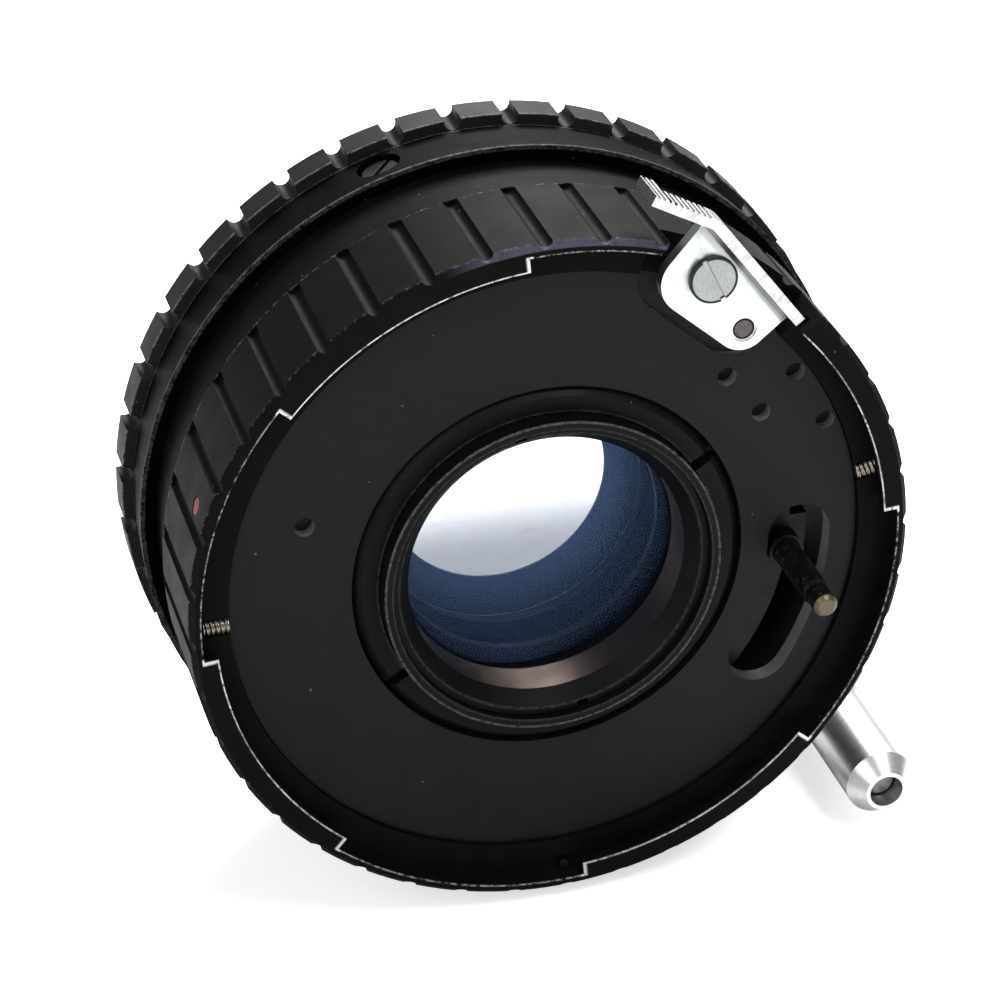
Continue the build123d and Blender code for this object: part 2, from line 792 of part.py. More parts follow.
with BuildPart() as bayonet_screws:
    screw_top = bayonet_front - bayonet_screw_sink
    with BuildSketch(section(screw_top)):
        with PolarLocations(bayonet_screw_orbit, bayonet_screw_count, start_angle=bayonet_screw_angle):
            Circle(bayonet_screw_head)
    extrude(amount=bayonet_screw_head_height)
    with BuildSketch(section(screw_top)):
        with PolarLocations(bayonet_screw_orbit, bayonet_screw_count, start_angle=bayonet_screw_angle):
            Circle(bayonet_screw_shank)
    extrude(amount=bayonet_screw_head_height + bayonet_screw_length)
    with BuildSketch(section(screw_top)):
        with PolarLocations(bayonet_screw_orbit, bayonet_screw_count, start_angle=bayonet_screw_angle):
            Rectangle(screw_slot_width, 2 * bayonet_screw_head)
    extrude(amount=screw_slot_depth, mode=Mode.SUBTRACT)
bayonet_screws.part.label = "bayonet_screws"
export_step(bayonet_screws.part, "parts/bayonet_screws.step")

# Optics

with BuildPart() as optics_cell:
    revolve(turned([
        (cell_bore, cell_rear), (cell_outer, cell_rear), (cell_outer, plate_front),
        (cell_flange, plate_front), (cell_flange, cell_seat), (cell_outer, cell_seat),
        (cell_outer, cell_front), (front_glass_outer + seat_gap, cell_front),
        (front_glass_outer + seat_gap, shoulder_front), (shoulder_lip, shoulder_front),
        (spacer_inner, shoulder_rear), (cell_bore, shoulder_rear),
    ]), axis=Axis.Y)
optics_cell.part.label = "optics_cell"
export_step(optics_cell.part, "parts/optics_cell.step")

with BuildPart() as outer_retaining_ring:
    revolve(turned([
        (cell_outer + 2 * seat_gap, outer_nut_rear), (outer_nut - outer_nut_chamfer, outer_nut_rear),
        (outer_nut, outer_nut_rear + outer_nut_chamfer), (outer_nut, plate_front),
        (cell_outer + 2 * seat_gap, plate_front),
    ]), axis=Axis.Y)
    with BuildSketch(section(outer_nut_rear + spanner_slot)):
        with PolarLocations((cell_outer + outer_nut) / 2, 2, start_angle=outer_slot_angle):
            Rectangle(outer_nut - cell_outer - 2 * seat_gap, spanner_slot)
    extrude(amount=spanner_slot, mode=Mode.SUBTRACT)
outer_retaining_ring.part.label = "outer_retaining_ring"
export_step(outer_retaining_ring.part, "parts/outer_retaining_ring.step")

with BuildPart() as inner_retaining_ring:
    revolve(turned([
        (inner_nut_face, inner_nut_rear), (cell_bore - seat_gap, inner_nut_rear),
        (cell_bore - seat_gap, spacer_rear), (clear_aperture, spacer_rear),
        (clear_aperture, spacer_rear - seat_gap),
    ]), axis=Axis.Y)
    with BuildSketch(section(inner_nut_rear + spanner_slot)):
        with PolarLocations(cell_bore, 2, start_angle=inner_slot_angle):
            Rectangle(2 * (cell_bore - inner_nut_face), spanner_slot)
    extrude(amount=spanner_slot, mode=Mode.SUBTRACT)
inner_retaining_ring.part.label = "inner_retaining_ring"
export_step(inner_retaining_ring.part, "parts/inner_retaining_ring.step")

with BuildPart() as rear_spacer:
    revolve(turned([
        (clear_aperture, spacer_rear), (cell_bore - seat_gap, spacer_rear),
        (cell_bore - seat_gap, spacer_front), (clear_aperture, spacer_front),
    ]), axis=Axis.Y)
rear_spacer.part.label = "rear_spacer"
export_step(rear_spacer.part, "parts/rear_spacer.step")

with BuildPart() as rear_element:
    revolve(lens(
        glass_outer, spacer_inner, spacer_front, middle_rear, rear_glass_curves,
    ), axis=Axis.Y)
rear_element.part.label = "rear_element"
export_step(rear_element.part, "parts/rear_element.step")

with BuildPart() as middle_spacer:
    revolve(turned([
        (spacer_inner, middle_rear), (cell_bore - seat_gap, middle_rear),
        (cell_bore - seat_gap, positive_rear), (spacer_inner, positive_rear),
    ]), axis=Axis.Y)
middle_spacer.part.label = "middle_spacer"
export_step(middle_spacer.part, "parts/middle_spacer.step")

with BuildPart() as middle_positive:
    revolve(lens(
        glass_outer, spacer_inner, positive_rear, negative_rear, positive_curves,
    ), axis=Axis.Y)
middle_positive.part.label = "middle_positive"
export_step(middle_positive.part, "parts/middle_positive.step")

with BuildPart() as middle_negative:
    revolve(lens(
        glass_outer, spacer_inner, negative_rear, shoulder_rear, negative_curves,
    ), axis=Axis.Y)
middle_negative.part.label = "middle_negative"
export_step(middle_negative.part, "parts/middle_negative.step")

with BuildPart() as front_element:
    revolve(lens(
        front_glass_outer, spacer_inner, shoulder_front, front_ring_rear, front_glass_curves,
    ), axis=Axis.Y)
front_element.part.label = "front_element"
export_step(front_element.part, "parts/front_element.step")

with BuildPart() as front_retaining_ring:
    revolve(turned([
        (spacer_inner, front_ring_rear), (front_glass_outer, front_ring_rear),
        (front_glass_outer, cell_front), (front_stop, cell_front), (front_stop, cell_front - throat_edge),
    ]), axis=Axis.Y)
front_retaining_ring.part.label = "front_retaining_ring"
export_step(front_retaining_ring.part, "parts/front_retaining_ring.step")

# Aperture coupling

with BuildPart() as coupling_ring:
    with BuildSketch(section(coupling_front)):
        Circle(coupling_outer)
        add(sector(coupling_outer - over, coupling_lobe, pin_angle, 2 * lobe_half_angle))
        add(sector(coupling_outer - over, coupling_lobe, nose_angle, 2 * nose_half_angle))
        Circle(coupling_inner, mode=Mode.SUBTRACT)
        with Locations(on_circle(pin_orbit, pin_angle)):
            Circle(pin_radius + seat_gap, mode=Mode.SUBTRACT)
        with Locations(on_circle(follower_orbit, follower_angle)):
            Circle(follower_foot + seat_gap, mode=Mode.SUBTRACT)
        with Locations(on_circle(hook_orbit, hook_angle)):
            Circle(hook_radius + seat_gap, mode=Mode.SUBTRACT)
    extrude(amount=coupling_thickness)
coupling_ring.part.label = "coupling_ring"
export_step(coupling_ring.part, "parts/coupling_ring.step")

pin_place = on_circle(pin_orbit, pin_angle)
with BuildPart() as rear_pin_collar:
    with BuildSketch(beside(pin_place)):
        add(turned([
            (pin_radius + seat_gap, coupling_rear - plate_thickness - seat_gap),
            (pin_collar, coupling_rear - plate_thickness - seat_gap),
            (pin_collar, coupling_rear), (pin_radius + seat_gap, coupling_rear),
        ]))
    revolve(axis=length_axis(pin_place))
rear_pin_collar.part.label = "rear_pin_collar"
export_step(rear_pin_collar.part, "parts/rear_pin_collar.step")

with BuildPart() as aperture_pin:
    with BuildSketch(beside(pin_place)):
        add(turned([
            (0, -pin_reach), (pin_tip_radius - throat_edge, -pin_reach),
            (pin_tip_radius, throat_edge - pin_reach), (pin_tip_radius, pin_tip_length - pin_reach),
            (pin_radius, pin_tip_length + pin_neck - pin_reach),
            (pin_radius, coupling_front), (0, coupling_front),
        ]))
    revolve(axis=length_axis(pin_place))
aperture_pin.part.label = "aperture_pin"
export_step(aperture_pin.part, "parts/aperture_pin.step")

follower_place = on_circle(follower_orbit, follower_angle)
with BuildPart() as front_follower:
    with BuildSketch(beside(follower_place)):
        add(turned([
            (0, coupling_rear), (follower_foot, coupling_rear), (follower_foot, coupling_front),
            (follower_radius, coupling_front), (follower_radius, paddle_rear), (0, paddle_rear),
        ]))
    revolve(axis=length_axis(follower_place))
    with BuildSketch(section(paddle_front)):
        add(sector(paddle_inner, paddle_outer, follower_angle, degrees(paddle_thickness / follower_orbit)))
    extrude(amount=paddle_front - paddle_rear)
front_follower.part.label = "front_follower"
export_step(front_follower.part, "parts/front_follower.step")

hook_place = on_circle(hook_orbit, hook_angle)
with BuildPart() as spring_hook_pin:
    with BuildSketch(section(coupling_front + hook_reach)):
        with Locations(hook_place):
            Circle(hook_radius)
    extrude(amount=coupling_thickness + hook_reach)
spring_hook_pin.part.label = "spring_hook_pin"
export_step(spring_hook_pin.part, "parts/spring_hook_pin.step")

with BuildPart() as spring_anchor_pin:
    with BuildSketch(section(web_rear + anchor_seat)):
        with Locations(on_circle(hook_orbit, anchor_angle)):
            Circle(anchor_radius)
    extrude(amount=web_rear + anchor_seat - coupling_front - over)
spring_anchor_pin.part.label = "spring_anchor_pin"
export_step(spring_anchor_pin.part, "parts/spring_anchor_pin.step")

with BuildPart() as coupling_spring:
    spring_middle = coupling_front + hook_reach / 2
    spring_first = hook_angle + degrees((hook_radius + seat_gap) / hook_orbit)
    spring_last = anchor_angle - degrees((anchor_radius + seat_gap) / hook_orbit)
    start = on_circle(hook_orbit, spring_first)
    with BuildSketch(Plane(origin=(0, 0, 0), x_dir=(start[0], 0, start[1]), z_dir=(-start[1], 0, start[0]))):
        with Locations((hook_orbit, y_of(spring_middle))):
            Circle(coupling_spring_radius)
    revolve(axis=Axis((0, 0, 0), (0, -1, 0)), revolution_arc=spring_last - spring_first)
coupling_spring.part.label = "coupling_spring"
export_step(coupling_spring.part, "parts/coupling_spring.step")

with BuildPart() as ring_stop_pins:
    with BuildSketch(section(coupling_front)):
        for angle in stop_angles:
            with Locations(on_circle(stop_orbit, angle)):
                Circle(stop_radius)
    extrude(amount=coupling_front - plate_front + stop_seat)
ring_stop_pins.part.label = "ring_stop_pins"
export_step(ring_stop_pins.part, "parts/ring_stop_pins.step")

# Release lever

with BuildPart() as release_lever:
    with BuildSketch(lever_plane(lever_front)):
        add(lever_outline())
        Circle(pivot_shoulder + running, mode=Mode.SUBTRACT)
        with Locations((lock_pin_x, lock_pin_y)):
            Circle(lock_pin_radius + seat_gap, mode=Mode.SUBTRACT)
    extrude(amount=lever_thickness)
    with BuildSketch(lever_plane(lever_rear + lock_dimple_depth)):
        with Locations((lock_pin_x, lock_pin_y)):
            Circle(lock_dimple)
    extrude(amount=lock_dimple_depth, mode=Mode.SUBTRACT)
    with BuildSketch(fold_plane(fold_near)):
        with BuildLine():
            Polyline(
                (-fold_fillet - fold_slope, 0), (-fold_fillet, -fold_groove_depth),
                (over, -fold_groove_depth), (over, 0), close=True,
            )
        make_face()
    extrude(amount=fold_far - fold_near, mode=Mode.SUBTRACT)
    with BuildSketch(lever_plane(tab_front)):
        with BuildLine():
            FilletPolyline(
                (tab_end, tab_line), (tab_knee, tab_line), (tab_tip_x, tab_tip_y), radius=tab_bend,
            )
        trace(line_width=tab_thickness)
    extrude(amount=tab_depth)
    with BuildSketch(fold_plane(fold_near + fold_fillet)):
        with BuildLine():
            Polyline(
                (-fold_fillet, -fold_groove_depth), (0, lever_rear - tab_rear), (0, -fold_groove_depth),
                close=True,
            )
        make_face()
    extrude(amount=fold_far - fold_near - fold_fillet)
    grip_run = ((tab_tip_x - tab_knee) ** 2 + (tab_tip_y - tab_line) ** 2) ** 0.5
    grip_along = ((tab_tip_x - tab_knee) / grip_run, (tab_tip_y - tab_line) / grip_run)
    grip_tilt = degrees(asin(-grip_along[1]))
    with BuildSketch(lever_plane(tab_front)):
        for rib in range(rib_count):
            reach = grip_run - (rib + 0.5) * rib_pitch
            with Locations((
                tab_knee + grip_along[0] * reach + grip_along[1] * tab_thickness / 2,
                tab_line + grip_along[1] * reach - grip_along[0] * tab_thickness / 2,
            )):
                Rectangle(rib_pitch / 2, 2 * rib_depth, rotation=grip_tilt)
    extrude(amount=tab_depth, mode=Mode.SUBTRACT)
release_lever.part.label = "release_lever"
export_step(release_lever.part, "parts/release_lever.step")

lever_place = on_circle(lever_orbit, lever_angle)
pivot_rear = lever_rear - seat_gap - pivot_head_height
with BuildPart() as lever_pivot_screw:
    with BuildSketch(beside(lever_place)):
        add(turned([
            (0, pivot_rear), (pivot_head, pivot_rear), (pivot_head, lever_rear - seat_gap),
            (pivot_shoulder, lever_rear - seat_gap), (pivot_shoulder, pocket_floor),
            (pivot_shank, pocket_floor), (pivot_shank, pivot_front), (0, pivot_front),
        ]))
    revolve(axis=length_axis(lever_place))
    with BuildSketch(lever_plane(pivot_rear + pivot_slot)):
        Rectangle(2 * pivot_head, screw_slot_width, rotation=pivot_slot_turn)
    extrude(amount=pivot_slot, mode=Mode.SUBTRACT)
lever_pivot_screw.part.label = "lever_pivot_screw"
export_step(lever_pivot_screw.part, "parts/lever_pivot_screw.step")

with BuildPart() as lever_spring:
    with BuildSketch(beside(lever_place)):
        add(turned([
            (pivot_shoulder + lever_coil_gap, lever_front + seat_gap),
            (pivot_shoulder + lever_coil_gap + lever_coil, lever_front + seat_gap),
            (pivot_shoulder + lever_coil_gap + lever_coil, pocket_floor - seat_gap),
            (pivot_shoulder + lever_coil_gap, pocket_floor - seat_gap),
        ]))
    revolve(axis=length_axis(lever_place))
    leg = toe_far_x - lock_pin_radius - pivot_shoulder
    with BuildSketch(lever_plane(lever_front + seat_gap + lever_coil)):
        with Locations((leg / 2, pivot_shoulder + lever_coil_gap + lever_coil / 2)):
            Rectangle(leg, lever_coil)
    extrude(amount=lever_coil)
lever_spring.part.label = "lever_spring"
export_step(lever_spring.part, "parts/lever_spring.step")

with BuildPart() as lock_pin:
    with BuildSketch(lever_plane(lock_pin_front)):
        with Locations((lock_pin_x, lock_pin_y)):
            Circle(lock_pin_radius)
    extrude(amount=lock_pin_front - lever_rear - lock_dimple_depth)
lock_pin.part.label = "lock_pin"
export_step(lock_pin.part, "parts/lock_pin.step")

# Shutter extension

arm_place = on_circle(arm_radius, arm_angle)
with BuildPart() as arm_bracket:
    with BuildSketch(arm_plane(arm_front)):
        add(arm_outline())
        with Locations((arm_radius, 0)):
            Circle(sleeve_outer + seat_gap, mode=Mode.SUBTRACT)
        with Locations((arm_screw_orbit, arm_screw_spread / 2), (arm_screw_orbit, -arm_screw_spread / 2)):
            Circle(arm_screw_shank + seat_gap, mode=Mode.SUBTRACT)
    extrude(amount=arm_thickness)
    with BuildSketch(arm_plane(arm_rear + arm_screw_head_height)):
        with Locations((arm_screw_orbit, arm_screw_spread / 2), (arm_screw_orbit, -arm_screw_spread / 2)):
            Circle(arm_screw_head + seat_gap)
    extrude(amount=arm_screw_head_height, mode=Mode.SUBTRACT)
arm_bracket.part.label = "arm_bracket"
export_step(arm_bracket.part, "parts/arm_bracket.step")

with BuildPart() as arm_screws:
    with BuildSketch(arm_plane(arm_rear + arm_screw_head_height)):
        with Locations((arm_screw_orbit, arm_screw_spread / 2), (arm_screw_orbit, -arm_screw_spread / 2)):
            Circle(arm_screw_head)
    extrude(amount=arm_screw_head_height)
    with BuildSketch(arm_plane(arm_rear + arm_screw_length)):
        with Locations((arm_screw_orbit, arm_screw_spread / 2), (arm_screw_orbit, -arm_screw_spread / 2)):
            Circle(arm_screw_shank)
    extrude(amount=arm_screw_length - screw_slot_depth)
    with BuildSketch(arm_plane(arm_rear + screw_slot_depth)):
        with Locations((arm_screw_orbit, arm_screw_spread / 2), (arm_screw_orbit, -arm_screw_spread / 2)):
            Rectangle(screw_slot_width, 2 * arm_screw_head)
    extrude(amount=screw_slot_depth, mode=Mode.SUBTRACT)
arm_screws.part.label = "arm_screws"
export_step(arm_screws.part, "parts/arm_screws.step")

with BuildPart() as release_sleeve:
    with BuildSketch(beside(arm_place)):
        add(turned([
            (sleeve_hole, sleeve_rear), (sleeve_hole + sleeve_nose, sleeve_rear),
            (sleeve_outer, sleeve_rear + sleeve_cone), (sleeve_outer, arm_front),
            (spring_chamber, arm_front), (spring_chamber, spring_seat),
            (sleeve_hole, spring_seat),
        ]))
    revolve(axis=length_axis(arm_place))
release_sleeve.part.label = "release_sleeve"
export_step(release_sleeve.part, "parts/release_sleeve.step")

with BuildPart() as plunger_bush:
    with BuildSketch(beside(arm_place)):
        add(turned([
            (spring_chamber, arm_front), (bush_radius, arm_front), (bush_radius, bush_front - throat_edge),
            (bush_radius - throat_edge, bush_front), (button_radius + running, bush_front),
            (button_radius + running, bush_front - bush_lip), (spring_chamber, bush_front - bush_lip),
        ]))
    revolve(axis=length_axis(arm_place))
plunger_bush.part.label = "plunger_bush"
export_step(plunger_bush.part, "parts/plunger_bush.step")

with BuildPart() as plunger_button:
    with BuildSketch(beside(arm_place)):
        add(turned([
            (0, button_rear), (button_foot, button_rear), (button_foot, button_foot_front),
            (button_radius, button_foot_front), (button_radius, button_front - button_edge),
            (button_radius - button_edge, button_front), (0, button_front - button_edge),
        ]))
    revolve(axis=length_axis(arm_place))
plunger_button.part.label = "plunger_button"
export_step(plunger_button.part, "parts/plunger_button.step")

with BuildPart() as plunger_rod:
    with BuildSketch(beside(arm_place)):
        add(turned([
            (0, rod_tip), (rod_radius - throat_edge, rod_tip), (rod_radius, rod_tip + throat_edge),
            (rod_radius, button_rear), (0, button_rear),
        ]))
    revolve(axis=length_axis(arm_place))
plunger_rod.part.label = "plunger_rod"
export_step(plunger_rod.part, "parts/plunger_rod.step")

with BuildPart() as plunger_spring:
    with BuildSketch(beside(arm_place)):
        add(turned([
            (plunger_coil - plunger_wire, spring_seat), (plunger_coil + plunger_wire, spring_seat),
            (plunger_coil + plunger_wire, button_rear), (plunger_coil - plunger_wire, button_rear),
        ]))
    revolve(axis=length_axis(arm_place))
plunger_spring.part.label = "plunger_spring"
export_step(plunger_spring.part, "parts/plunger_spring.step")
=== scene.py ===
import bmesh
import bpy
import math
from mathutils import Matrix, Vector


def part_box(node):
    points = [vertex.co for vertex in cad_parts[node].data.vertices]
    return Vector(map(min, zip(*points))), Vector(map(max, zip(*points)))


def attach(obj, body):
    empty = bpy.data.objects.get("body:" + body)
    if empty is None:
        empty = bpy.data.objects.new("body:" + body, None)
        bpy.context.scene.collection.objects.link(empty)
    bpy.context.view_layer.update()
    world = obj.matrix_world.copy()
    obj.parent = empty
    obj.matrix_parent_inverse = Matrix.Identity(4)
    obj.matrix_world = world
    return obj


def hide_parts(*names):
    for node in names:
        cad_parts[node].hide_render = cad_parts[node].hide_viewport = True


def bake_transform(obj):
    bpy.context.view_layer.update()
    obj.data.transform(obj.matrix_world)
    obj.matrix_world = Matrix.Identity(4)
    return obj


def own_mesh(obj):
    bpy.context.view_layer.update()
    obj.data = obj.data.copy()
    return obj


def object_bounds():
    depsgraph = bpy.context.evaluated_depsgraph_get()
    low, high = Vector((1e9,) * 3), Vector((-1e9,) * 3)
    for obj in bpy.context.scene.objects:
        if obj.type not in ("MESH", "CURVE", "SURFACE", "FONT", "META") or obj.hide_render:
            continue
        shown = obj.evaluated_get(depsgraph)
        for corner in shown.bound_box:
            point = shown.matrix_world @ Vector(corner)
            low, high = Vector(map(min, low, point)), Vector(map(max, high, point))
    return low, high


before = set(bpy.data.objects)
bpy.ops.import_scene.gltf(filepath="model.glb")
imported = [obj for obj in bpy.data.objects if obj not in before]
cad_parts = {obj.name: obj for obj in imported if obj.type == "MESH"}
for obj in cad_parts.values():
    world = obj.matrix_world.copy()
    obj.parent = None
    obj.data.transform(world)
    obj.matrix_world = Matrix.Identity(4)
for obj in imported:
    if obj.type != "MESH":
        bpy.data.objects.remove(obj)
cad_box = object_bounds()

# Sizes in millimetres, in the row frame. Depths are counted from the camera-side ring.
MM = 0.001
SEAT = 26.0
PLUNGER_PLACE = (30.4, -26.63)
PIVOT_PLACE = (12.36, 25.19)
LOCK_PLACE = (15.16, 20.4)
FOLD_TURN = -52.0
RIB_PITCH = 0.52
LUG_INNER = 27.9
LUG_GROOVE = 29.05
LUG_START = 5.0
LUG_SPAN = 45.0
OPTICAL_AXIS = (0.0, 0.0)
HOLE_RADII = (19.9, 26.4)
# Painted shade on the front glass: the height band where it fades in, and what passes at its foot.
PAINTED_SHADE_LOW = -6.5
PAINTED_SHADE_HIGH = 1.5
CLEAR = 0.985
FRONT_PAINTED_SHADE = 0.50
PAINT_BUMP = (0.12, 0.05)


def direction(degrees):
    """Unit direction across the optical axis, at an angle from +X towards +Z."""
    turn = math.radians(degrees)
    return (math.cos(turn), 0.0, math.sin(turn))


FOLD_LINE = Vector(direction(FOLD_TURN))
LEVER_OUTWARD = direction(FOLD_TURN + 90.0)


# Node helpers

class Nodes:
    """A small shorthand for building one material's node tree."""

    def __init__(self, name):
        self.mat = bpy.data.materials.new(name)
        self.mat.use_nodes = True
        self.tree = self.mat.node_tree
        self.tree.nodes.clear()
        self.out = self.tree.nodes.new("ShaderNodeOutputMaterial")

    def node(self, kind, **props):
        n = self.tree.nodes.new(kind)
        for key, value in props.items():
            setattr(n, key, value)
        return n

    def put(self, socket, value):
        """Link a socket to the input, or write a plain value into it."""
        if isinstance(value, bpy.types.NodeSocket):
            self.tree.links.new(value, socket)
        elif value is not None:
            if hasattr(socket.default_value, "__len__") and not hasattr(value, "__len__"):
                value = [value] * len(socket.default_value)
            if hasattr(value, "__len__") and len(value) == 3 and len(socket.default_value) == 4:
                value = (*value, 1.0)
            socket.default_value = value

    def math(self, op, a, b=None, clamp=False):
        n = self.node("ShaderNodeMath", operation=op, use_clamp=clamp)
        self.put(n.inputs[0], a)
        self.put(n.inputs[1], b)
        return n.outputs[0]

    def times(self, *factors):
        """Product of several values."""
        result = factors[0]
        for factor in factors[1:]:
            result = self.math("MULTIPLY", result, factor)
        return result

    def vec(self, op, a, b=None):
        n = self.node("ShaderNodeVectorMath", operation=op)
        self.put(n.inputs[0], a)
        self.put(n.inputs[1], b)
        return n.outputs["Value"] if op == "DOT_PRODUCT" else n.outputs[0]

    def place(self):
        """Object position in millimetres: a vector, x, y and z."""
        coord = self.node("ShaderNodeTexCoord").outputs["Object"]
        mm = self.vec("SCALE", coord)
        mm.node.inputs["Scale"].default_value = 1.0 / MM
        split = self.node("ShaderNodeSeparateXYZ")
        self.put(split.inputs[0], mm)
        return mm, split.outputs[0], split.outputs[1], split.outputs[2]

    def polar(self, centre=OPTICAL_AXIS):
        """Radius in mm, angle in degrees and depth in mm, round a line along Y."""
        _, x, y, z = self.place()
        x = self.math("SUBTRACT", x, centre[0])
        z = self.math("SUBTRACT", z, centre[1])
        radius = self.math("SQRT", self.math("ADD", self.times(x, x), self.times(z, z)))
        angle = self.math("DEGREES", self.math("ARCTAN2", z, x))
        depth = self.math("ADD", y, SEAT)
        return radius, angle, depth

    def along(self, degrees):
        """Distance in mm along a direction across the optical axis."""
        where, _, _, _ = self.place()
        return self.vec("DOT_PRODUCT", where, direction(degrees))

    def facing(self, way):
        """How far the surface faces a way, in the object's own space: one when straight at it."""
        normal = self.node("ShaderNodeTexCoord").outputs["Normal"]
        return self.vec("DOT_PRODUCT", normal, way)

    def join(self, x, y, z):
        n = self.node("ShaderNodeCombineXYZ")
        for socket, value in zip(n.inputs, (x, y, z)):
            self.put(socket, value)
        return n.outputs[0]

    def noise(self, vector, scale, detail=4.0, rough=0.55):
        n = self.node("ShaderNodeTexNoise")
        self.put(n.inputs["Vector"], vector)
        n.inputs["Scale"].default_value = scale
        n.inputs["Detail"].default_value = detail
        n.inputs["Roughness"].default_value = rough
        return n.outputs["Fac"]

    def cells(self, vector, scale):
        n = self.node("ShaderNodeTexVoronoi", feature="F1")
        self.put(n.inputs["Vector"], vector)
        n.inputs["Scale"].default_value = scale
        return n.outputs["Distance"], n.outputs["Color"]

    def ramp(self, value, low, high, to_low=0.0, to_high=1.0):
        """Smooth step from one value to another."""
        n = self.node("ShaderNodeMapRange", interpolation_type="SMOOTHSTEP", clamp=True)
        self.put(n.inputs["Value"], value)
        n.inputs["From Min"].default_value = low
        n.inputs["From Max"].default_value = high
        n.inputs["To Min"].default_value = to_low
        n.inputs["To Max"].default_value = to_high
        return n.outputs["Result"]

    def band(self, value, low, high, soft=0.05):
        """One between two limits, with soft sides."""
        rise = self.ramp(value, low - soft, low + soft)
        return self.times(rise, self.ramp(value, high + soft, high - soft))

    def specks(self, where, scale, size, share):
        """Small round specks: one inside a speck. share is how many of the cells hold one."""
        distance, shade = self.cells(where, scale)
        picked = self.math("GREATER_THAN", self.vec("DOT_PRODUCT", shade, (0.5, 0.5, 0.0)), 1.0 - share)
        return self.times(self.ramp(distance, size, size * 0.4), picked)

    def mix(self, factor, a, b):
        n = self.node("ShaderNodeMix", data_type="RGBA")
        self.put(n.inputs["Factor"], factor)
        self.put(n.inputs["A"], a)
        self.put(n.inputs["B"], b)
        return n.outputs["Result"]

    def blend(self, factor, a, b):
        n = self.node("ShaderNodeMix", data_type="FLOAT")
        self.put(n.inputs["Factor"], factor)
        self.put(n.inputs["A"], a)
        self.put(n.inputs["B"], b)
        return n.outputs["Result"]

    def round_edges(self, radius):
        bevel = self.node("ShaderNodeBevel", samples=6)
        bevel.inputs["Radius"].default_value = radius * MM
        return bevel.outputs[0]

    def bump(self, height, strength, distance, radius=0.07):
        """Bumped normal over rounded edges. Distance and edge radius are in mm."""
        n = self.node("ShaderNodeBump")
        n.inputs["Strength"].default_value = strength
        n.inputs["Distance"].default_value = distance * MM
        self.put(n.inputs["Height"], height)
        self.put(n.inputs["Normal"], self.round_edges(radius))
        return n.outputs[0]

    def lathe(self, scale, centre=OPTICAL_AXIS):
        """Fine turning marks round a line along Y."""
        radius, angle, depth = self.polar(centre)
        marks = self.join(self.times(depth, scale), self.times(radius, scale), self.times(angle, 0.02))
        return self.noise(marks, 1.0, 3.0, 0.6)

    def shader(self, color, rough, metallic=0.0, spec=0.5, normal=None):
        n = self.node("ShaderNodeBsdfPrincipled")
        self.put(n.inputs["Base Color"], color)
        self.put(n.inputs["Roughness"], rough)
        self.put(n.inputs["Metallic"], metallic)
        n.inputs["Specular IOR Level"].default_value = spec
        if normal is not None:
            self.put(n.inputs["Normal"], normal)
        return n.outputs[0]

    def finish(self, surface):
        self.tree.links.new(surface, self.out.inputs["Surface"])
        return self.mat


def dress(material, *names):
    """Give CAD nodes a material in all of their slots."""
    for name in names:
        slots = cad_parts[name].data.materials
        if len(slots) == 0:
            slots.append(material)
        for i in range(len(slots)):
            slots[i] = material


# Black finishes

def black_base(n, base, rough, turned, dust):
    """Colour, roughness and height of a black finish: mottling, turning marks and specks of dust."""
    where, _, _, _ = n.place()
    mottle = n.noise(where, 0.35, 5.0, 0.6)
    fine = n.noise(where, 6.0, 3.0, 0.7)
    color = n.mix(n.ramp(mottle, 0.3, 0.7), [c * 0.8 for c in base], [c * 1.2 for c in base])
    speck = n.specks(where, 0.75, 0.10, 0.30)
    speck = n.times(speck, n.ramp(fine, 0.4, 0.6, 0.15, 1.0), dust)
    color = n.mix(speck, color, (0.22, 0.23, 0.22))
    roughness = n.ramp(mottle, 0.25, 0.75, rough - 0.06, rough + 0.06)
    height = n.math("ADD", fine, n.times(n.lathe(7.0), turned))
    return where, color, roughness, height


def black_finish(name, base, rough, spec, turned=0.4, dust=0.5):
    """Plain black finish without wear."""
    n = Nodes(name)
    _, color, roughness, height = black_base(n, base, rough, turned, dust)
    return n.finish(n.shader(color, roughness, 0.0, spec, n.bump(height, *PAINT_BUMP)))


def plate_black():
    """Black paint of the camera-side plate. The walls of its blind holes are bare metal, lightened so that
    they glint: partly a painted highlight.
    """
    n = Nodes("plate_black")
    _, color, roughness, height = black_base(n, (0.0058, 0.0074, 0.0070), 0.55, 0.3, 1.0)
    radius, _, depth = n.polar()
    upright = n.math("ABSOLUTE", n.facing((0.0, 1.0, 0.0)))
    wall = n.times(n.ramp(upright, 0.5, 0.3), n.band(radius, *HOLE_RADII), n.ramp(depth, 0.9, 1.1))
    # Partly painted highlight: the hole walls are lightened to bare metal so the lamps catch them as glints.
    color = n.mix(wall, color, (0.30, 0.30, 0.29))
    return n.finish(n.shader(color, roughness, n.times(wall, 0.8), 0.16, n.bump(height, *PAINT_BUMP)))


def worn_black(name, base, rough, spec, zones, turned=0.4, dust=0.5, metal=(0.5, 0.5, 0.48)):
    """Black finish rubbed to metal. A zone is a radius band, a depth band and how far it is worn."""
    n = Nodes(name)
    where, color, roughness, height = black_base(n, base, rough, turned, dust)
    radius, _, depth = n.polar()
    torn = n.noise(where, 2.4, 6.0, 0.75)
    worn = 0.0
    for r_low, r_high, d_low, d_high, amount in zones:
        zone = n.times(n.band(radius, r_low, r_high, 0.03), n.band(depth, d_low, d_high, 0.03))
        worn = n.math("ADD", worn, n.times(zone, amount))
    worn = n.math("MULTIPLY", worn, n.ramp(torn, 0.36, 0.6), clamp=True)
    color = n.mix(worn, color, metal)
    roughness = n.blend(worn, roughness, 0.32)
    return n.finish(n.shader(color, roughness, n.times(worn, 0.8), spec, n.bump(height, *PAINT_BUMP)))


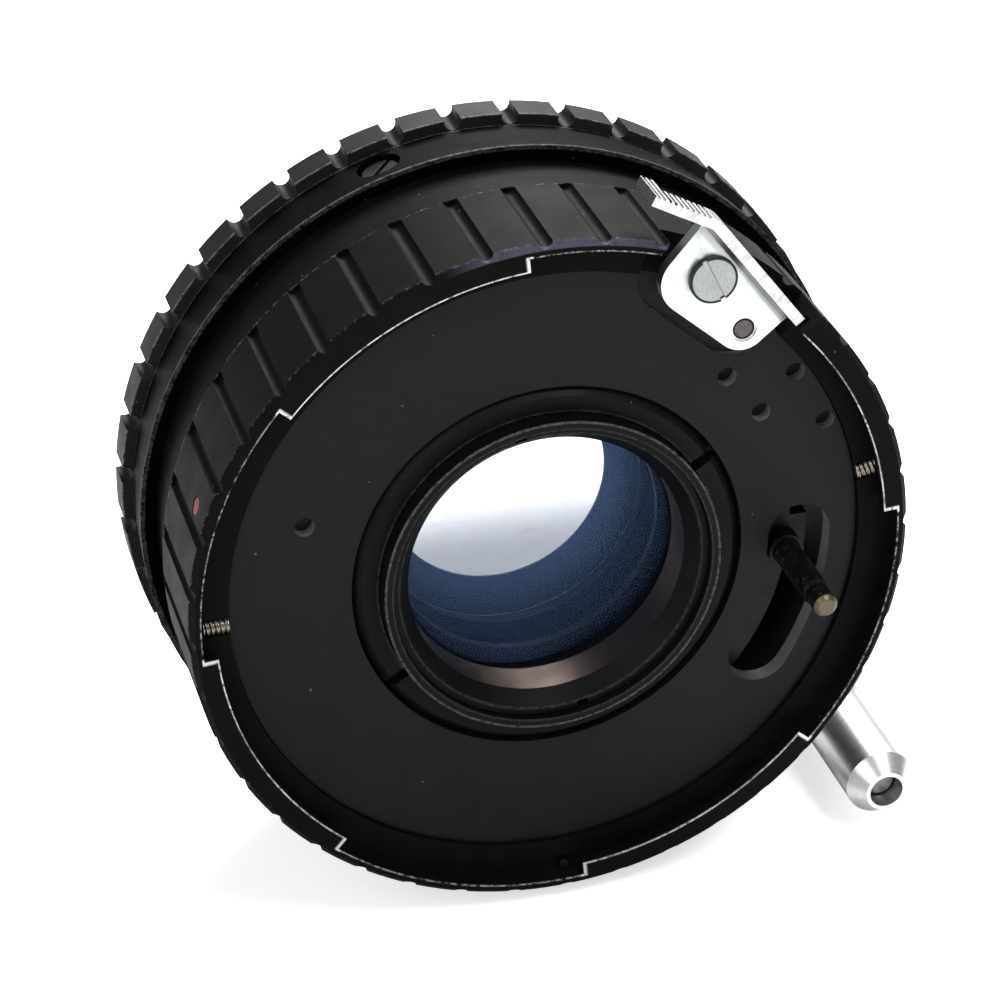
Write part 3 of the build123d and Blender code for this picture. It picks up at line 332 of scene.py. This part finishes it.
def barrel_enamel():
    """Black enamel of the barrel: bare metal along the lugs' edges, and a painted sheen greying the top of
    the rear chamfer.
    """
    n = Nodes("barrel_enamel")
    where, color, roughness, height = black_base(n, (0.0042, 0.0039, 0.0030), 0.55, 0.4, 0.5)
    radius, angle, depth = n.polar()
    torn = n.noise(where, 2.2, 6.0, 0.75)
    patch = n.noise(where, 0.25, 2.0, 0.5)
    turn = n.math("MODULO", n.math("ADD", angle, 360.0 - LUG_START), 90.0)
    from_start = n.math("MINIMUM", turn, n.math("SUBTRACT", 90.0, turn))
    from_end = n.math("ABSOLUTE", n.math("SUBTRACT", turn, LUG_SPAN))
    from_corner = n.math("MINIMUM", from_start, from_end)
    rear = n.ramp(depth, 0.16, 0.05)
    on_lug = n.ramp(turn, LUG_SPAN + 0.6, LUG_SPAN)
    inner_line = n.times(n.band(radius, LUG_INNER - 0.1, LUG_INNER + 0.1), rear, on_lug)
    inner_line = n.times(inner_line, n.ramp(torn, 0.36, 0.56, 0.12, 1.0), n.ramp(patch, 0.35, 0.6, 0.45, 1.0))
    groove_line = n.times(n.band(radius, LUG_GROOVE - 0.08, LUG_GROOVE + 0.1), rear)
    groove_line = n.times(groove_line, n.ramp(torn, 0.42, 0.6, 0.0, 0.5))
    groove_line = n.times(groove_line, n.ramp(turn, LUG_SPAN - 0.5, LUG_SPAN + 0.5))
    corner = n.times(n.band(radius, LUG_INNER - 0.1, LUG_GROOVE + 0.15), rear, n.ramp(from_corner, 0.75, 0.3))
    corner = n.times(corner, n.ramp(torn, 0.3, 0.5, 0.2, 1.0))
    flute_rim = n.times(n.band(radius, 29.85, 30.05, 0.03), n.band(depth, 0.42, 0.62, 0.03))
    flute_rim = n.times(flute_rim, n.ramp(torn, 0.5, 0.64, 0.0, 0.10))
    front_rim = n.times(n.band(radius, 29.9, 30.05, 0.03), n.band(depth, 11.05, 11.3, 0.03))
    front_rim = n.times(front_rim, n.ramp(torn, 0.5, 0.62, 0.0, 0.15))
    worn = n.math("ADD", inner_line, groove_line)
    worn = n.math("ADD", worn, corner)
    worn = n.math("ADD", worn, n.math("ADD", flute_rim, front_rim), clamp=True)
    # Painted sheen: the rear chamfer is greyed only on top, where the light falls, broken up like wear.
    chamfer = n.times(n.band(radius, 29.5, 30.04, 0.03), n.band(depth, 0.0, 0.5, 0.03))
    painted_top_sheen = n.times(chamfer, n.band(angle, 52.0, 104.0, 5.0), n.ramp(torn, 0.32, 0.5, 0.35, 1.0))
    color = n.mix(painted_top_sheen, color, (0.062, 0.059, 0.088))
    color = n.mix(worn, color, (0.72, 0.72, 0.70))
    roughness = n.blend(worn, roughness, 0.3)
    metallic = n.times(worn, 0.6)
    return n.finish(n.shader(color, roughness, metallic, 0.04, n.bump(height, *PAINT_BUMP)))


# Worn edges: inner and outer radius, first and last depth, and how far they are rubbed.
COLLAR_EDGES = (
    (30.3, 30.8, 17.2, 17.7, 0.15),
    (30.2, 30.45, 22.75, 22.95, 0.3),
)
GRIP_EDGES = (
    (31.15, 31.3, 22.9, 23.05, 0.3),
    (31.15, 31.3, 25.85, 26.0, 0.25),
)
CELL_EDGES = (
    (13.9, 14.2, 0.9, 1.1, 0.15),
    (13.25, 13.5, 0.9, 1.1, 0.05),
    (11.25, 11.5, 13.8, 14.0, 0.12),
    # This edge is bared brightly to stand in for a lit edge deep in the cell: partly wear, partly painted
    # highlight.
    (11.75, 12.0, 15.6, 15.9, 0.8),
)
RING_EDGES = (
    (12.6, 12.8, 1.6, 1.85, 0.05),
    (14.15, 14.4, 2.4, 2.6, 0.05),
)

dress(barrel_enamel(), "outer_barrel")
dress(plate_black(), "rear_plate")
dress(worn_black("collar_black", (0.0017, 0.0016, 0.0013), 0.55, 0.03, COLLAR_EDGES, 0.5, 0.4), "cone_collar")
dress(worn_black("grip_black", (0.0110, 0.0106, 0.0098), 0.52, 0.10, GRIP_EDGES, 0.2, 0.3), "grip_ring")
dress(black_finish("chassis_black", (0.0070, 0.0072, 0.0070), 0.5, 0.3, 0.3, 0.2), "main_body")
dress(worn_black("cell_black", (0.0032, 0.0036, 0.0036), 0.48, 0.10, CELL_EDGES, 0.7, 0.3), "optics_cell")
dress(worn_black("ring_black", (0.0030, 0.0035, 0.0035), 0.48, 0.10, RING_EDGES, 0.7, 0.5),
      "outer_retaining_ring", "inner_retaining_ring", "front_retaining_ring")


# Bare metals

def bare_metal(name, base, rough, turned_about=None, scale=9.0):
    """Bare metal with turning marks round a line, or with a fine grain."""
    n = Nodes(name)
    where, _, _, _ = n.place()
    lines = n.noise(where, scale, 4.0, 0.7) if turned_about is None else n.lathe(scale, turned_about)
    cloud = n.noise(where, 0.6, 4.0, 0.6)
    color = n.mix(n.ramp(lines, 0.3, 0.7), [c * 0.86 for c in base], base)
    roughness = n.math("ADD", n.ramp(cloud, 0.3, 0.7, rough - 0.05, rough + 0.08), n.times(lines, 0.05))
    return n.finish(n.shader(color, roughness, 1.0, 0.5, n.bump(lines, 0.10, 0.02, 0.06)))


def lever_satin():
    """Satin chrome of the release lever: stained flat, stippled tab, painted shade on the tab's outer face,
    and painted light and shade on the fold slopes.
    """
    n = Nodes("lever_satin")
    where, _, y, _ = n.place()
    fold = n.along(FOLD_TURN)
    grain = n.noise(where, 7.0, 4.0, 0.7)
    cloud = n.noise(where, 0.55, 5.0, 0.62)
    color = n.mix(n.ramp(cloud, 0.42, 0.66), (0.84, 0.855, 0.85), (0.70, 0.735, 0.725))
    pit = n.specks(where, 2.0, 0.20, 0.25)
    color = n.mix(n.times(pit, 0.35), color, (0.36, 0.38, 0.38))
    tab = n.ramp(y, 0.45 - SEAT, 0.38 - SEAT)
    painted_light_by_facing = n.facing(LEVER_OUTWARD)
    outward = n.times(n.along(FOLD_TURN + 90.0), 0.8)
    stipple = n.noise(n.join(n.times(fold, 2.0 / RIB_PITCH), y, outward), 1.0, 3.0, 0.7)
    color = n.mix(n.times(tab, n.ramp(stipple, 0.47, 0.62), 0.55), color, (0.36, 0.37, 0.38))
    # Painted light and shade by the way a face turns: the tab's outer face is greyed, the fold slope facing
    # out is lighter, and the one facing in is darker.
    color = n.mix(n.ramp(painted_light_by_facing, 0.85, 0.95), color, (0.30, 0.30, 0.31))
    color = n.mix(n.band(painted_light_by_facing, 0.2, 0.8, 0.06), color, (0.50, 0.51, 0.51))
    color = n.mix(n.band(painted_light_by_facing, -0.8, -0.2, 0.06), color, (0.20, 0.20, 0.205))
    roughness = n.ramp(cloud, 0.3, 0.7, 0.34, 0.46)
    height = n.math("ADD", grain, n.times(tab, stipple, 4.0))
    return n.finish(n.shader(color, roughness, 1.0, 0.5, n.bump(height, 0.14, 0.03, 0.06)))


def sleeve_finish():
    """Satin turned steel, with fine rings round the plunger's line."""
    n = Nodes("sleeve_satin")
    lines = n.lathe(12.0, PLUNGER_PLACE)
    color = n.mix(n.ramp(lines, 0.3, 0.7), (0.66, 0.66, 0.65), (0.78, 0.78, 0.77))
    return n.finish(n.shader(color, n.ramp(lines, 0.2, 0.8, 0.30, 0.36), 1.0, 0.5))


def pivot_steel():
    """Polished screw head with a dark line round its rim and fine scratches."""
    n = Nodes("pivot_steel")
    where, _, _, _ = n.place()
    radius, _, _ = n.polar(PIVOT_PLACE)
    scratches = n.join(n.times(n.along(20.0), 12.0), n.times(n.along(110.0), 1.4), 0.0)
    scratch = n.noise(scratches, 1.0, 3.0, 0.7)
    cloud = n.noise(where, 0.9, 4.0, 0.6)
    color = n.mix(n.ramp(scratch, 0.4, 0.66), (0.36, 0.38, 0.375), (0.29, 0.31, 0.305))
    color = n.mix(n.times(n.ramp(cloud, 0.55, 0.7), 0.5), color, (0.46, 0.48, 0.48))
    rim = n.ramp(radius, 1.70, 1.80)
    color = n.mix(rim, color, (0.025, 0.027, 0.027))
    roughness = n.blend(rim, 0.3, 0.45)
    return n.finish(n.shader(color, roughness, 1.0, 0.5, n.bump(scratch, 0.12, 0.02, 0.05)))


def lock_steel():
    """Brown-stained pin end with a dark line round its rim."""
    n = Nodes("lock_steel")
    where, _, _, _ = n.place()
    radius, _, _ = n.polar(LOCK_PLACE)
    grain = n.noise(where, 6.0, 4.0, 0.7)
    color = n.mix(n.ramp(grain, 0.35, 0.65), (0.077, 0.066, 0.064), (0.125, 0.110, 0.105))
    rim = n.ramp(radius, 0.66, 0.8)
    color = n.mix(rim, color, (0.010, 0.010, 0.010))
    return n.finish(n.shader(color, 0.26, 1.0, 0.5, n.bump(grain, 0.3, 0.05, 0.05)))


dress(bare_metal("dark_screw", (0.035, 0.034, 0.032), 0.38),
      "collar_screws", "bayonet_screws", "arm_screws", "mount_stop_pin")
dress(bare_metal("bayonet_chrome", (0.34, 0.34, 0.345), 0.55, OPTICAL_AXIS), "front_bayonet")
dress(bare_metal("coupling_steel", (0.022, 0.022, 0.021), 0.45, OPTICAL_AXIS),
      "coupling_ring", "rear_pin_collar", "front_follower",
      "spring_hook_pin", "spring_anchor_pin", "ring_stop_pins")
dress(pivot_steel(), "lever_pivot_screw")
dress(lock_steel(), "lock_pin")
dress(bare_metal("arm_satin", (0.66, 0.67, 0.68), 0.36), "arm_bracket")
dress(sleeve_finish(), "release_sleeve")
dress(bare_metal("plunger_steel", (0.20, 0.20, 0.195), 0.30, PLUNGER_PLACE, 12.0),
      "plunger_bush", "plunger_button", "plunger_rod")
dress(bare_metal("spacer_brass", (0.085, 0.064, 0.055), 0.34, OPTICAL_AXIS, 10.0), "rear_spacer")
dress(bare_metal("spacer_dark", (0.008, 0.0075, 0.007), 0.5, OPTICAL_AXIS, 10.0), "middle_spacer")


def pin_finish():
    """Blackened pin with a bare brass end and rubbed sides."""
    n = Nodes("pin_black_and_brass")
    where, _, _, _ = n.place()
    _, _, depth = n.polar()
    worn = n.noise(where, 1.6, 5.0, 0.7)
    tip = n.ramp(n.math("ADD", depth, n.times(worn, 0.5)), -5.7, -6.0)
    color = n.mix(tip, (0.006, 0.0055, 0.005), (0.125, 0.103, 0.066))
    color = n.mix(n.times(n.ramp(worn, 0.54, 0.66), 0.4), color, (0.17, 0.14, 0.115))
    metallic = n.math("MAXIMUM", tip, 0.5)
    return n.finish(n.shader(color, n.blend(tip, 0.36, 0.42), metallic, 0.5, n.bump(worn, 0.1, 0.04)))


def dot_finish():
    """Dark red enamel dot with chips."""
    n = Nodes("red_enamel")
    where, _, _, _ = n.place()
    chip = n.noise(where, 3.0, 4.0, 0.7)
    color = n.mix(n.ramp(chip, 0.48, 0.66), (0.20, 0.004, 0.005), (0.04, 0.004, 0.004))
    return n.finish(n.shader(color, 0.5, 0.0, 0.25, n.bump(chip, 0.15, 0.03)))


def glass_finish(name, painted_shade=CLEAR):
    """Coated glass that doesn't bend the view: a faint blue gloss, and painted shade that lets less through
    towards the bottom.
    """
    n = Nodes(name)
    where, _, _, z = n.place()
    haze = n.noise(where, 0.4, 3.0, 0.5)
    clear = n.node("ShaderNodeBsdfTransparent")
    # Painted shade: less passes through lower down, standing in for the shaded floor seen through the lens.
    passed = n.ramp(z, PAINTED_SHADE_LOW, PAINTED_SHADE_HIGH, painted_shade, CLEAR)
    n.put(clear.inputs["Color"], n.join(passed, passed, passed))
    gloss = n.node("ShaderNodeBsdfGlossy")
    n.put(gloss.inputs["Color"], n.mix(haze, (0.16, 0.28, 0.56), (0.20, 0.32, 0.62)))
    gloss.inputs["Roughness"].default_value = 0.32
    weight = n.node("ShaderNodeLayerWeight")
    weight.inputs["Blend"].default_value = 0.5
    slant = n.math("POWER", weight.outputs["Facing"], 5.0)
    mix = n.node("ShaderNodeMixShader")
    n.put(mix.inputs[0], n.math("ADD", 0.05, n.times(slant, 0.95), clamp=True))
    n.tree.links.new(clear.outputs[0], mix.inputs[1])
    n.tree.links.new(gloss.outputs[0], mix.inputs[2])
    return n.finish(mix.outputs[0])


dress(pin_finish(), "aperture_pin")
dress(dot_finish(), "index_dot")
dress(glass_finish("coated_glass"), "rear_element", "middle_positive", "middle_negative")
dress(glass_finish("front_glass", FRONT_PAINTED_SHADE), "front_element")


# Lever with its shortened tab

LEVER_PIVOT = Vector((PIVOT_PLACE[0], 0.0, PIVOT_PLACE[1]))
TAB_REACH = 1.5
TAB_CUT = 2.11
TAB_SLOPE = 0.045
WELD = 0.001
SHARP_ANGLE = 30.0


def short_lever():
    """Release lever with most of its tab cut down.

    Only faces further than TAB_REACH from the pivot's line are cut. The bent tip comes nearer
    than that, so it keeps its whole depth, and the mesh is open where the cut ends.
    """
    shape = bmesh.new()
    shape.from_mesh(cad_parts["release_lever"].data)
    bmesh.ops.remove_doubles(shape, verts=shape.verts, dist=WELD * MM)
    outward = Vector(LEVER_OUTWARD)
    tab = [
        face for face in shape.faces
        if all((v.co / MM - LEVER_PIVOT).dot(outward) > TAB_REACH for v in face.verts)
    ]
    tab += list({e for f in tab for e in f.edges}) + list({v for f in tab for v in f.verts})
    corner = LEVER_PIVOT + Vector((0.0, TAB_CUT - SEAT, 0.0))
    facing = Vector((0.0, 1.0, 0.0)) + FOLD_LINE * TAB_SLOPE
    cut = bmesh.ops.bisect_plane(shape, geom=tab, dist=0.0001 * MM, plane_co=corner * MM,
                                 plane_no=facing.normalized(), clear_outer=True)
    rim = [e for e in cut["geom_cut"] if isinstance(e, bmesh.types.BMEdge)]
    bmesh.ops.holes_fill(shape, edges=rim, sides=0)
    mesh = bpy.data.meshes.new("short_lever")
    shape.to_mesh(mesh)
    shape.free()
    if "custom_normal" in mesh.attributes:
        mesh.attributes.remove(mesh.attributes["custom_normal"])
    mesh.materials.clear()
    mesh.materials.append(lever_satin())
    for polygon in mesh.polygons:
        polygon.use_smooth = True
        polygon.material_index = 0
    mesh.set_sharp_from_angle(angle=math.radians(SHARP_ANGLE))
    piece = bpy.data.objects.new("short_tab_lever", mesh)
    bpy.context.scene.collection.objects.link(piece)
    return piece


lever = short_lever()
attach(lever, "lever")
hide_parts("release_lever")


# Wound springs and threaded screws

def mesh_piece(name, vertices, faces, material):
    """New object from points in mm, with smooth faces."""
    mesh = bpy.data.meshes.new(name)
    mesh.from_pydata([Vector(v) * MM for v in vertices], [], faces)
    mesh.materials.append(material)
    for polygon in mesh.polygons:
        polygon.use_smooth = True
    mesh.update()
    piece = bpy.data.objects.new(name, mesh)
    bpy.context.scene.collection.objects.link(piece)
    return piece


def rows_to_faces(row_count, row_size):
    """Faces of a closed tube of rows, with a cap at each end."""
    faces = []
    for row in range(row_count - 1):
        for i in range(row_size):
            j = (i + 1) % row_size
            low = row * row_size
            high = low + row_size
            faces.append((low + i, low + j, high + j, high + i))
    faces.append(tuple(reversed(range(row_size))))
    faces.append(tuple(range((row_count - 1) * row_size, row_count * row_size)))
    return faces


def wire(name, path, radius, material, sides=10):
    """Round wire along a list of points."""
    vertices = []
    for i, point in enumerate(path):
        ahead = path[min(i + 1, len(path) - 1)]
        behind = path[max(i - 1, 0)]
        tangent = (ahead - behind).normalized()
        if i == 0:
            across = tangent.orthogonal().normalized()
        else:
            across = (across - tangent * across.dot(tangent)).normalized()
        beside = tangent.cross(across)
        for side in range(sides):
            turn = 2 * math.pi * side / sides
            vertices.append(point + across * radius * math.cos(turn) + beside * radius * math.sin(turn))
    return mesh_piece(name, vertices, rows_to_faces(len(path), sides), material)


def straight_coil(centre, start, end, radius, turns, closed_turns=1.5, steps=20):
    """Points of a coil along Y with closed turns at both ends. Centre is (x, z)."""
    count = int(turns * steps)
    dead = closed_turns / turns
    points = []
    for i in range(count + 1):
        share = i / count
        run = min(max((share - dead) / (1 - 2 * dead), 0.0), 1.0)
        lead = 0.02 * (min(share, dead) + min(1 - share, dead)) / dead
        rise = run * 0.96 + (0.02 if share > 0.5 else 0.0) + (lead if share <= 0.5 else 0.02 - lead)
        turn = 2 * math.pi * turns * share
        points.append(Vector((
            centre[0] + radius * math.cos(turn),
            start + (end - start) * rise,
            centre[1] + radius * math.sin(turn),
        )))
    return points


def arc_coil(orbit, first, last, depth, radius, turns, steps=16):
    """Points of a coil wound round an arc about the optical axis, from one angle to another."""
    count = int(turns * steps)
    points = []
    for i in range(count + 1):
        share = i / count
        angle = math.radians(first + (last - first) * share)
        turn = 2 * math.pi * turns * share
        reach = orbit + radius * math.cos(turn)
        points.append(Vector((
            reach * math.cos(angle),
            depth - SEAT + radius * math.sin(turn),
            reach * math.sin(angle),
        )))
    return points


def threaded_screw(name, angle, inner, outer, depth, radius, pitch, cut, material,
                   sides=24, rows_per_pitch=8):
    """Headless screw that lies along a radius, with a helical thread."""
    outward = Vector(direction(angle))
    across = Vector((0.0, 1.0, 0.0))
    beside = outward.cross(across)
    base = outward * inner + Vector((0.0, depth - SEAT, 0.0))
    rows = int((outer - inner) / pitch * rows_per_pitch)
    vertices = []
    for row in range(rows + 1):
        run = (outer - inner) * row / rows
        taper = min(1.0, 4 * min(row, rows - row) / rows_per_pitch)
        for side in range(sides):
            phase = (run / pitch - side / sides) % 1.0
            groove = cut * (1 - abs(2 * phase - 1)) if 0 < row < rows else cut * 1.4
            reach = radius - groove * taper - cut * 0.6 * (1 - taper)
            turn = 2 * math.pi * side / sides
            round_offset = across * reach * math.cos(turn) + beside * reach * math.sin(turn)
            vertices.append(base + outward * run + round_offset)
    return mesh_piece(name, vertices, rows_to_faces(rows + 1, sides), material)


spring_steel = bare_metal("spring_steel", (0.55, 0.55, 0.54), 0.3)
screw_steel = bare_metal("set_screw_steel", (0.33, 0.29, 0.23), 0.26)

PLUNGER_WIRE = 0.21
PLUNGER_COIL = 2.0
PLUNGER_TURNS = 9.0
PLUNGER_END = 0.22
plunger_low, plunger_high = (Vector(c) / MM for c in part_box("plunger_spring"))
plunger_path = straight_coil(PLUNGER_PLACE, plunger_low.y + PLUNGER_END, plunger_high.y - PLUNGER_END,
                             PLUNGER_COIL, PLUNGER_TURNS)
plunger_coil = wire("plunger_spring_coil", plunger_path, PLUNGER_WIRE, spring_steel)
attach(plunger_coil, "casing")
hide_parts("plunger_spring")
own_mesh(plunger_coil)

COUPLING_ORBIT = 20.5
COUPLING_DEPTH = 7.95
COUPLING_FIRST = 62.2
COUPLING_LAST = 187.6
COUPLING_COIL = 0.62
COUPLING_TURNS = 48.0
COUPLING_WIRE = 0.12
coupling_path = arc_coil(COUPLING_ORBIT, COUPLING_FIRST, COUPLING_LAST, COUPLING_DEPTH,
                         COUPLING_COIL, COUPLING_TURNS)
coupling_coil = wire("coupling_spring_coil", coupling_path, COUPLING_WIRE, spring_steel, 8)


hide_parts("coupling_spring")
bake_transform(coupling_coil)

LEVER_WIRE = 0.16
LEVER_COIL = 1.5
LEVER_TURNS = 3.0
LEVER_END = 0.17
LEG_STEP = 0.5
LEG_STEPS = 7
lever_low, lever_high = (Vector(c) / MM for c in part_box("lever_spring"))
lever_path = straight_coil(PIVOT_PLACE, lever_low.y + LEVER_END, lever_high.y - LEVER_END,
                           LEVER_COIL, LEVER_TURNS, 0.5)
leg_start = lever_path[-1]
lever_path += [leg_start + FOLD_LINE * step * LEG_STEP for step in range(1, LEG_STEPS + 1)]
lever_coil = wire("lever_spring_coil", lever_path, LEVER_WIRE, spring_steel)
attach(lever_coil, "casing")
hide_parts("lever_spring")

SCREW_SHAPE = {"inner": 26.5, "outer": 28.6, "depth": 2.35, "radius": 0.75, "pitch": 0.4, "cut": 0.16}
for side, angle in (("left", -178.5), ("right", 11.5)):
    screw = threaded_screw(f"set_screw_{side}", angle, material=screw_steel, **SCREW_SHAPE)
    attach(screw, "casing")
    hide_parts("barrel_set_screws")


# Stage: floor, light and camera

FLOOR = cad_box[0][2]
FLOOR_GLOW = 0.62
SEEN_STRENGTH = 1.0
ROOM_STRENGTH = 0.35
AIM = (0, -10, 0)
SENSOR_WIDTH = 36.0
FOCAL_LENGTH = 116.25
CAMERA_EYE = (-65.16, -239.0, 131.82)
CAMERA_RIGHT = (0.962, -0.272, 0.0)
CAMERA_FORWARD = (0.238, 0.841, -0.487)


def floor_finish():
    """Pale floor. What the camera sees of it directly is lifted to white, and shadows stay."""
    n = Nodes("floor_white")
    where, _, _, _ = n.place()
    diffuse = n.node("ShaderNodeBsdfDiffuse")
    n.put(diffuse.inputs["Color"], n.mix(n.noise(where, 0.02, 3.0), (0.86, 0.87, 0.88), (0.9, 0.9, 0.9)))
    glow = n.node("ShaderNodeEmission")
    glow.inputs["Color"].default_value = (1.0, 1.0, 1.0, 1.0)
    glow.inputs["Strength"].default_value = FLOOR_GLOW
    both = n.node("ShaderNodeAddShader")
    n.tree.links.new(diffuse.outputs[0], both.inputs[0])
    n.tree.links.new(glow.outputs[0], both.inputs[1])
    ray = n.node("ShaderNodeLightPath")
    pick = n.node("ShaderNodeMixShader")
    n.put(pick.inputs[0], n.math("MAXIMUM", ray.outputs["Is Camera Ray"], ray.outputs["Is Transmission Ray"]))
    n.tree.links.new(diffuse.outputs[0], pick.inputs[1])
    n.tree.links.new(both.outputs[0], pick.inputs[2])
    return n.finish(pick.outputs[0])


def studio_world(seen_strength, room_strength):
    """White behind the object, and a dimmer pale room for the light on it."""
    world = bpy.data.worlds.new("studio")
    bpy.context.scene.world = world
    world.use_nodes = True
    tree = world.node_tree
    tree.nodes.clear()
    out = tree.nodes.new("ShaderNodeOutputWorld")
    seen = tree.nodes.new("ShaderNodeBackground")
    seen.inputs["Color"].default_value = (1.0, 1.0, 1.0, 1.0)
    seen.inputs["Strength"].default_value = seen_strength
    room = tree.nodes.new("ShaderNodeBackground")
    room.inputs["Color"].default_value = (0.92, 0.96, 1.0, 1.0)
    room.inputs["Strength"].default_value = room_strength
    path = tree.nodes.new("ShaderNodeLightPath")
    choose = tree.nodes.new("ShaderNodeMixShader")
    tree.links.new(path.outputs["Is Camera Ray"], choose.inputs[0])
    tree.links.new(room.outputs[0], choose.inputs[1])
    tree.links.new(seen.outputs[0], choose.inputs[2])
    tree.links.new(choose.outputs[0], out.inputs["Surface"])


def softbox(name, place, aim, size, power):
    """A square area lamp, placed in millimetres and turned to a point."""
    lamp = bpy.data.lights.new(name, "AREA")
    lamp.shape = "SQUARE"
    lamp.size = size * MM
    lamp.energy = power
    holder = bpy.data.objects.new(name, lamp)
    bpy.context.scene.collection.objects.link(holder)
    holder.location = Vector(place) * MM
    holder.rotation_euler = (Vector(aim) - Vector(place)).to_track_quat("-Z", "Y").to_euler()


def place_camera(eye, right, forward, focal_length):
    """Camera at a place in mm, with its right and forward directions."""
    camera = bpy.data.cameras.new("camera")
    camera.lens = focal_length
    camera.sensor_width = SENSOR_WIDTH
    camera.clip_start = 0.01
    camera.dof.use_dof = False
    holder = bpy.data.objects.new("camera", camera)
    bpy.context.scene.collection.objects.link(holder)
    forward = Vector(forward).normalized()
    up = Vector(right).cross(forward).normalized()
    side = forward.cross(up).normalized()
    turn = Matrix((side, up, -forward)).transposed().to_4x4()
    turn.translation = Vector(eye) * MM
    holder.matrix_world = turn
    bpy.context.scene.camera = holder


bpy.ops.mesh.primitive_plane_add(size=6.0, location=(0, 0, FLOOR))
floor = bpy.context.object
floor.name = "floor"
floor.data.materials.append(floor_finish())
studio_world(SEEN_STRENGTH, ROOM_STRENGTH)
softbox("window", (180, 330, 420), AIM, 380, 7.0)
softbox("fill", (-320, -260, 260), AIM, 300, 0.8)
softbox("overhead", (165, -310, 470), AIM, 160, 1.3)
place_camera(CAMERA_EYE, CAMERA_RIGHT, CAMERA_FORWARD, FOCAL_LENGTH)
bpy.context.scene.view_settings.view_transform = "Standard"
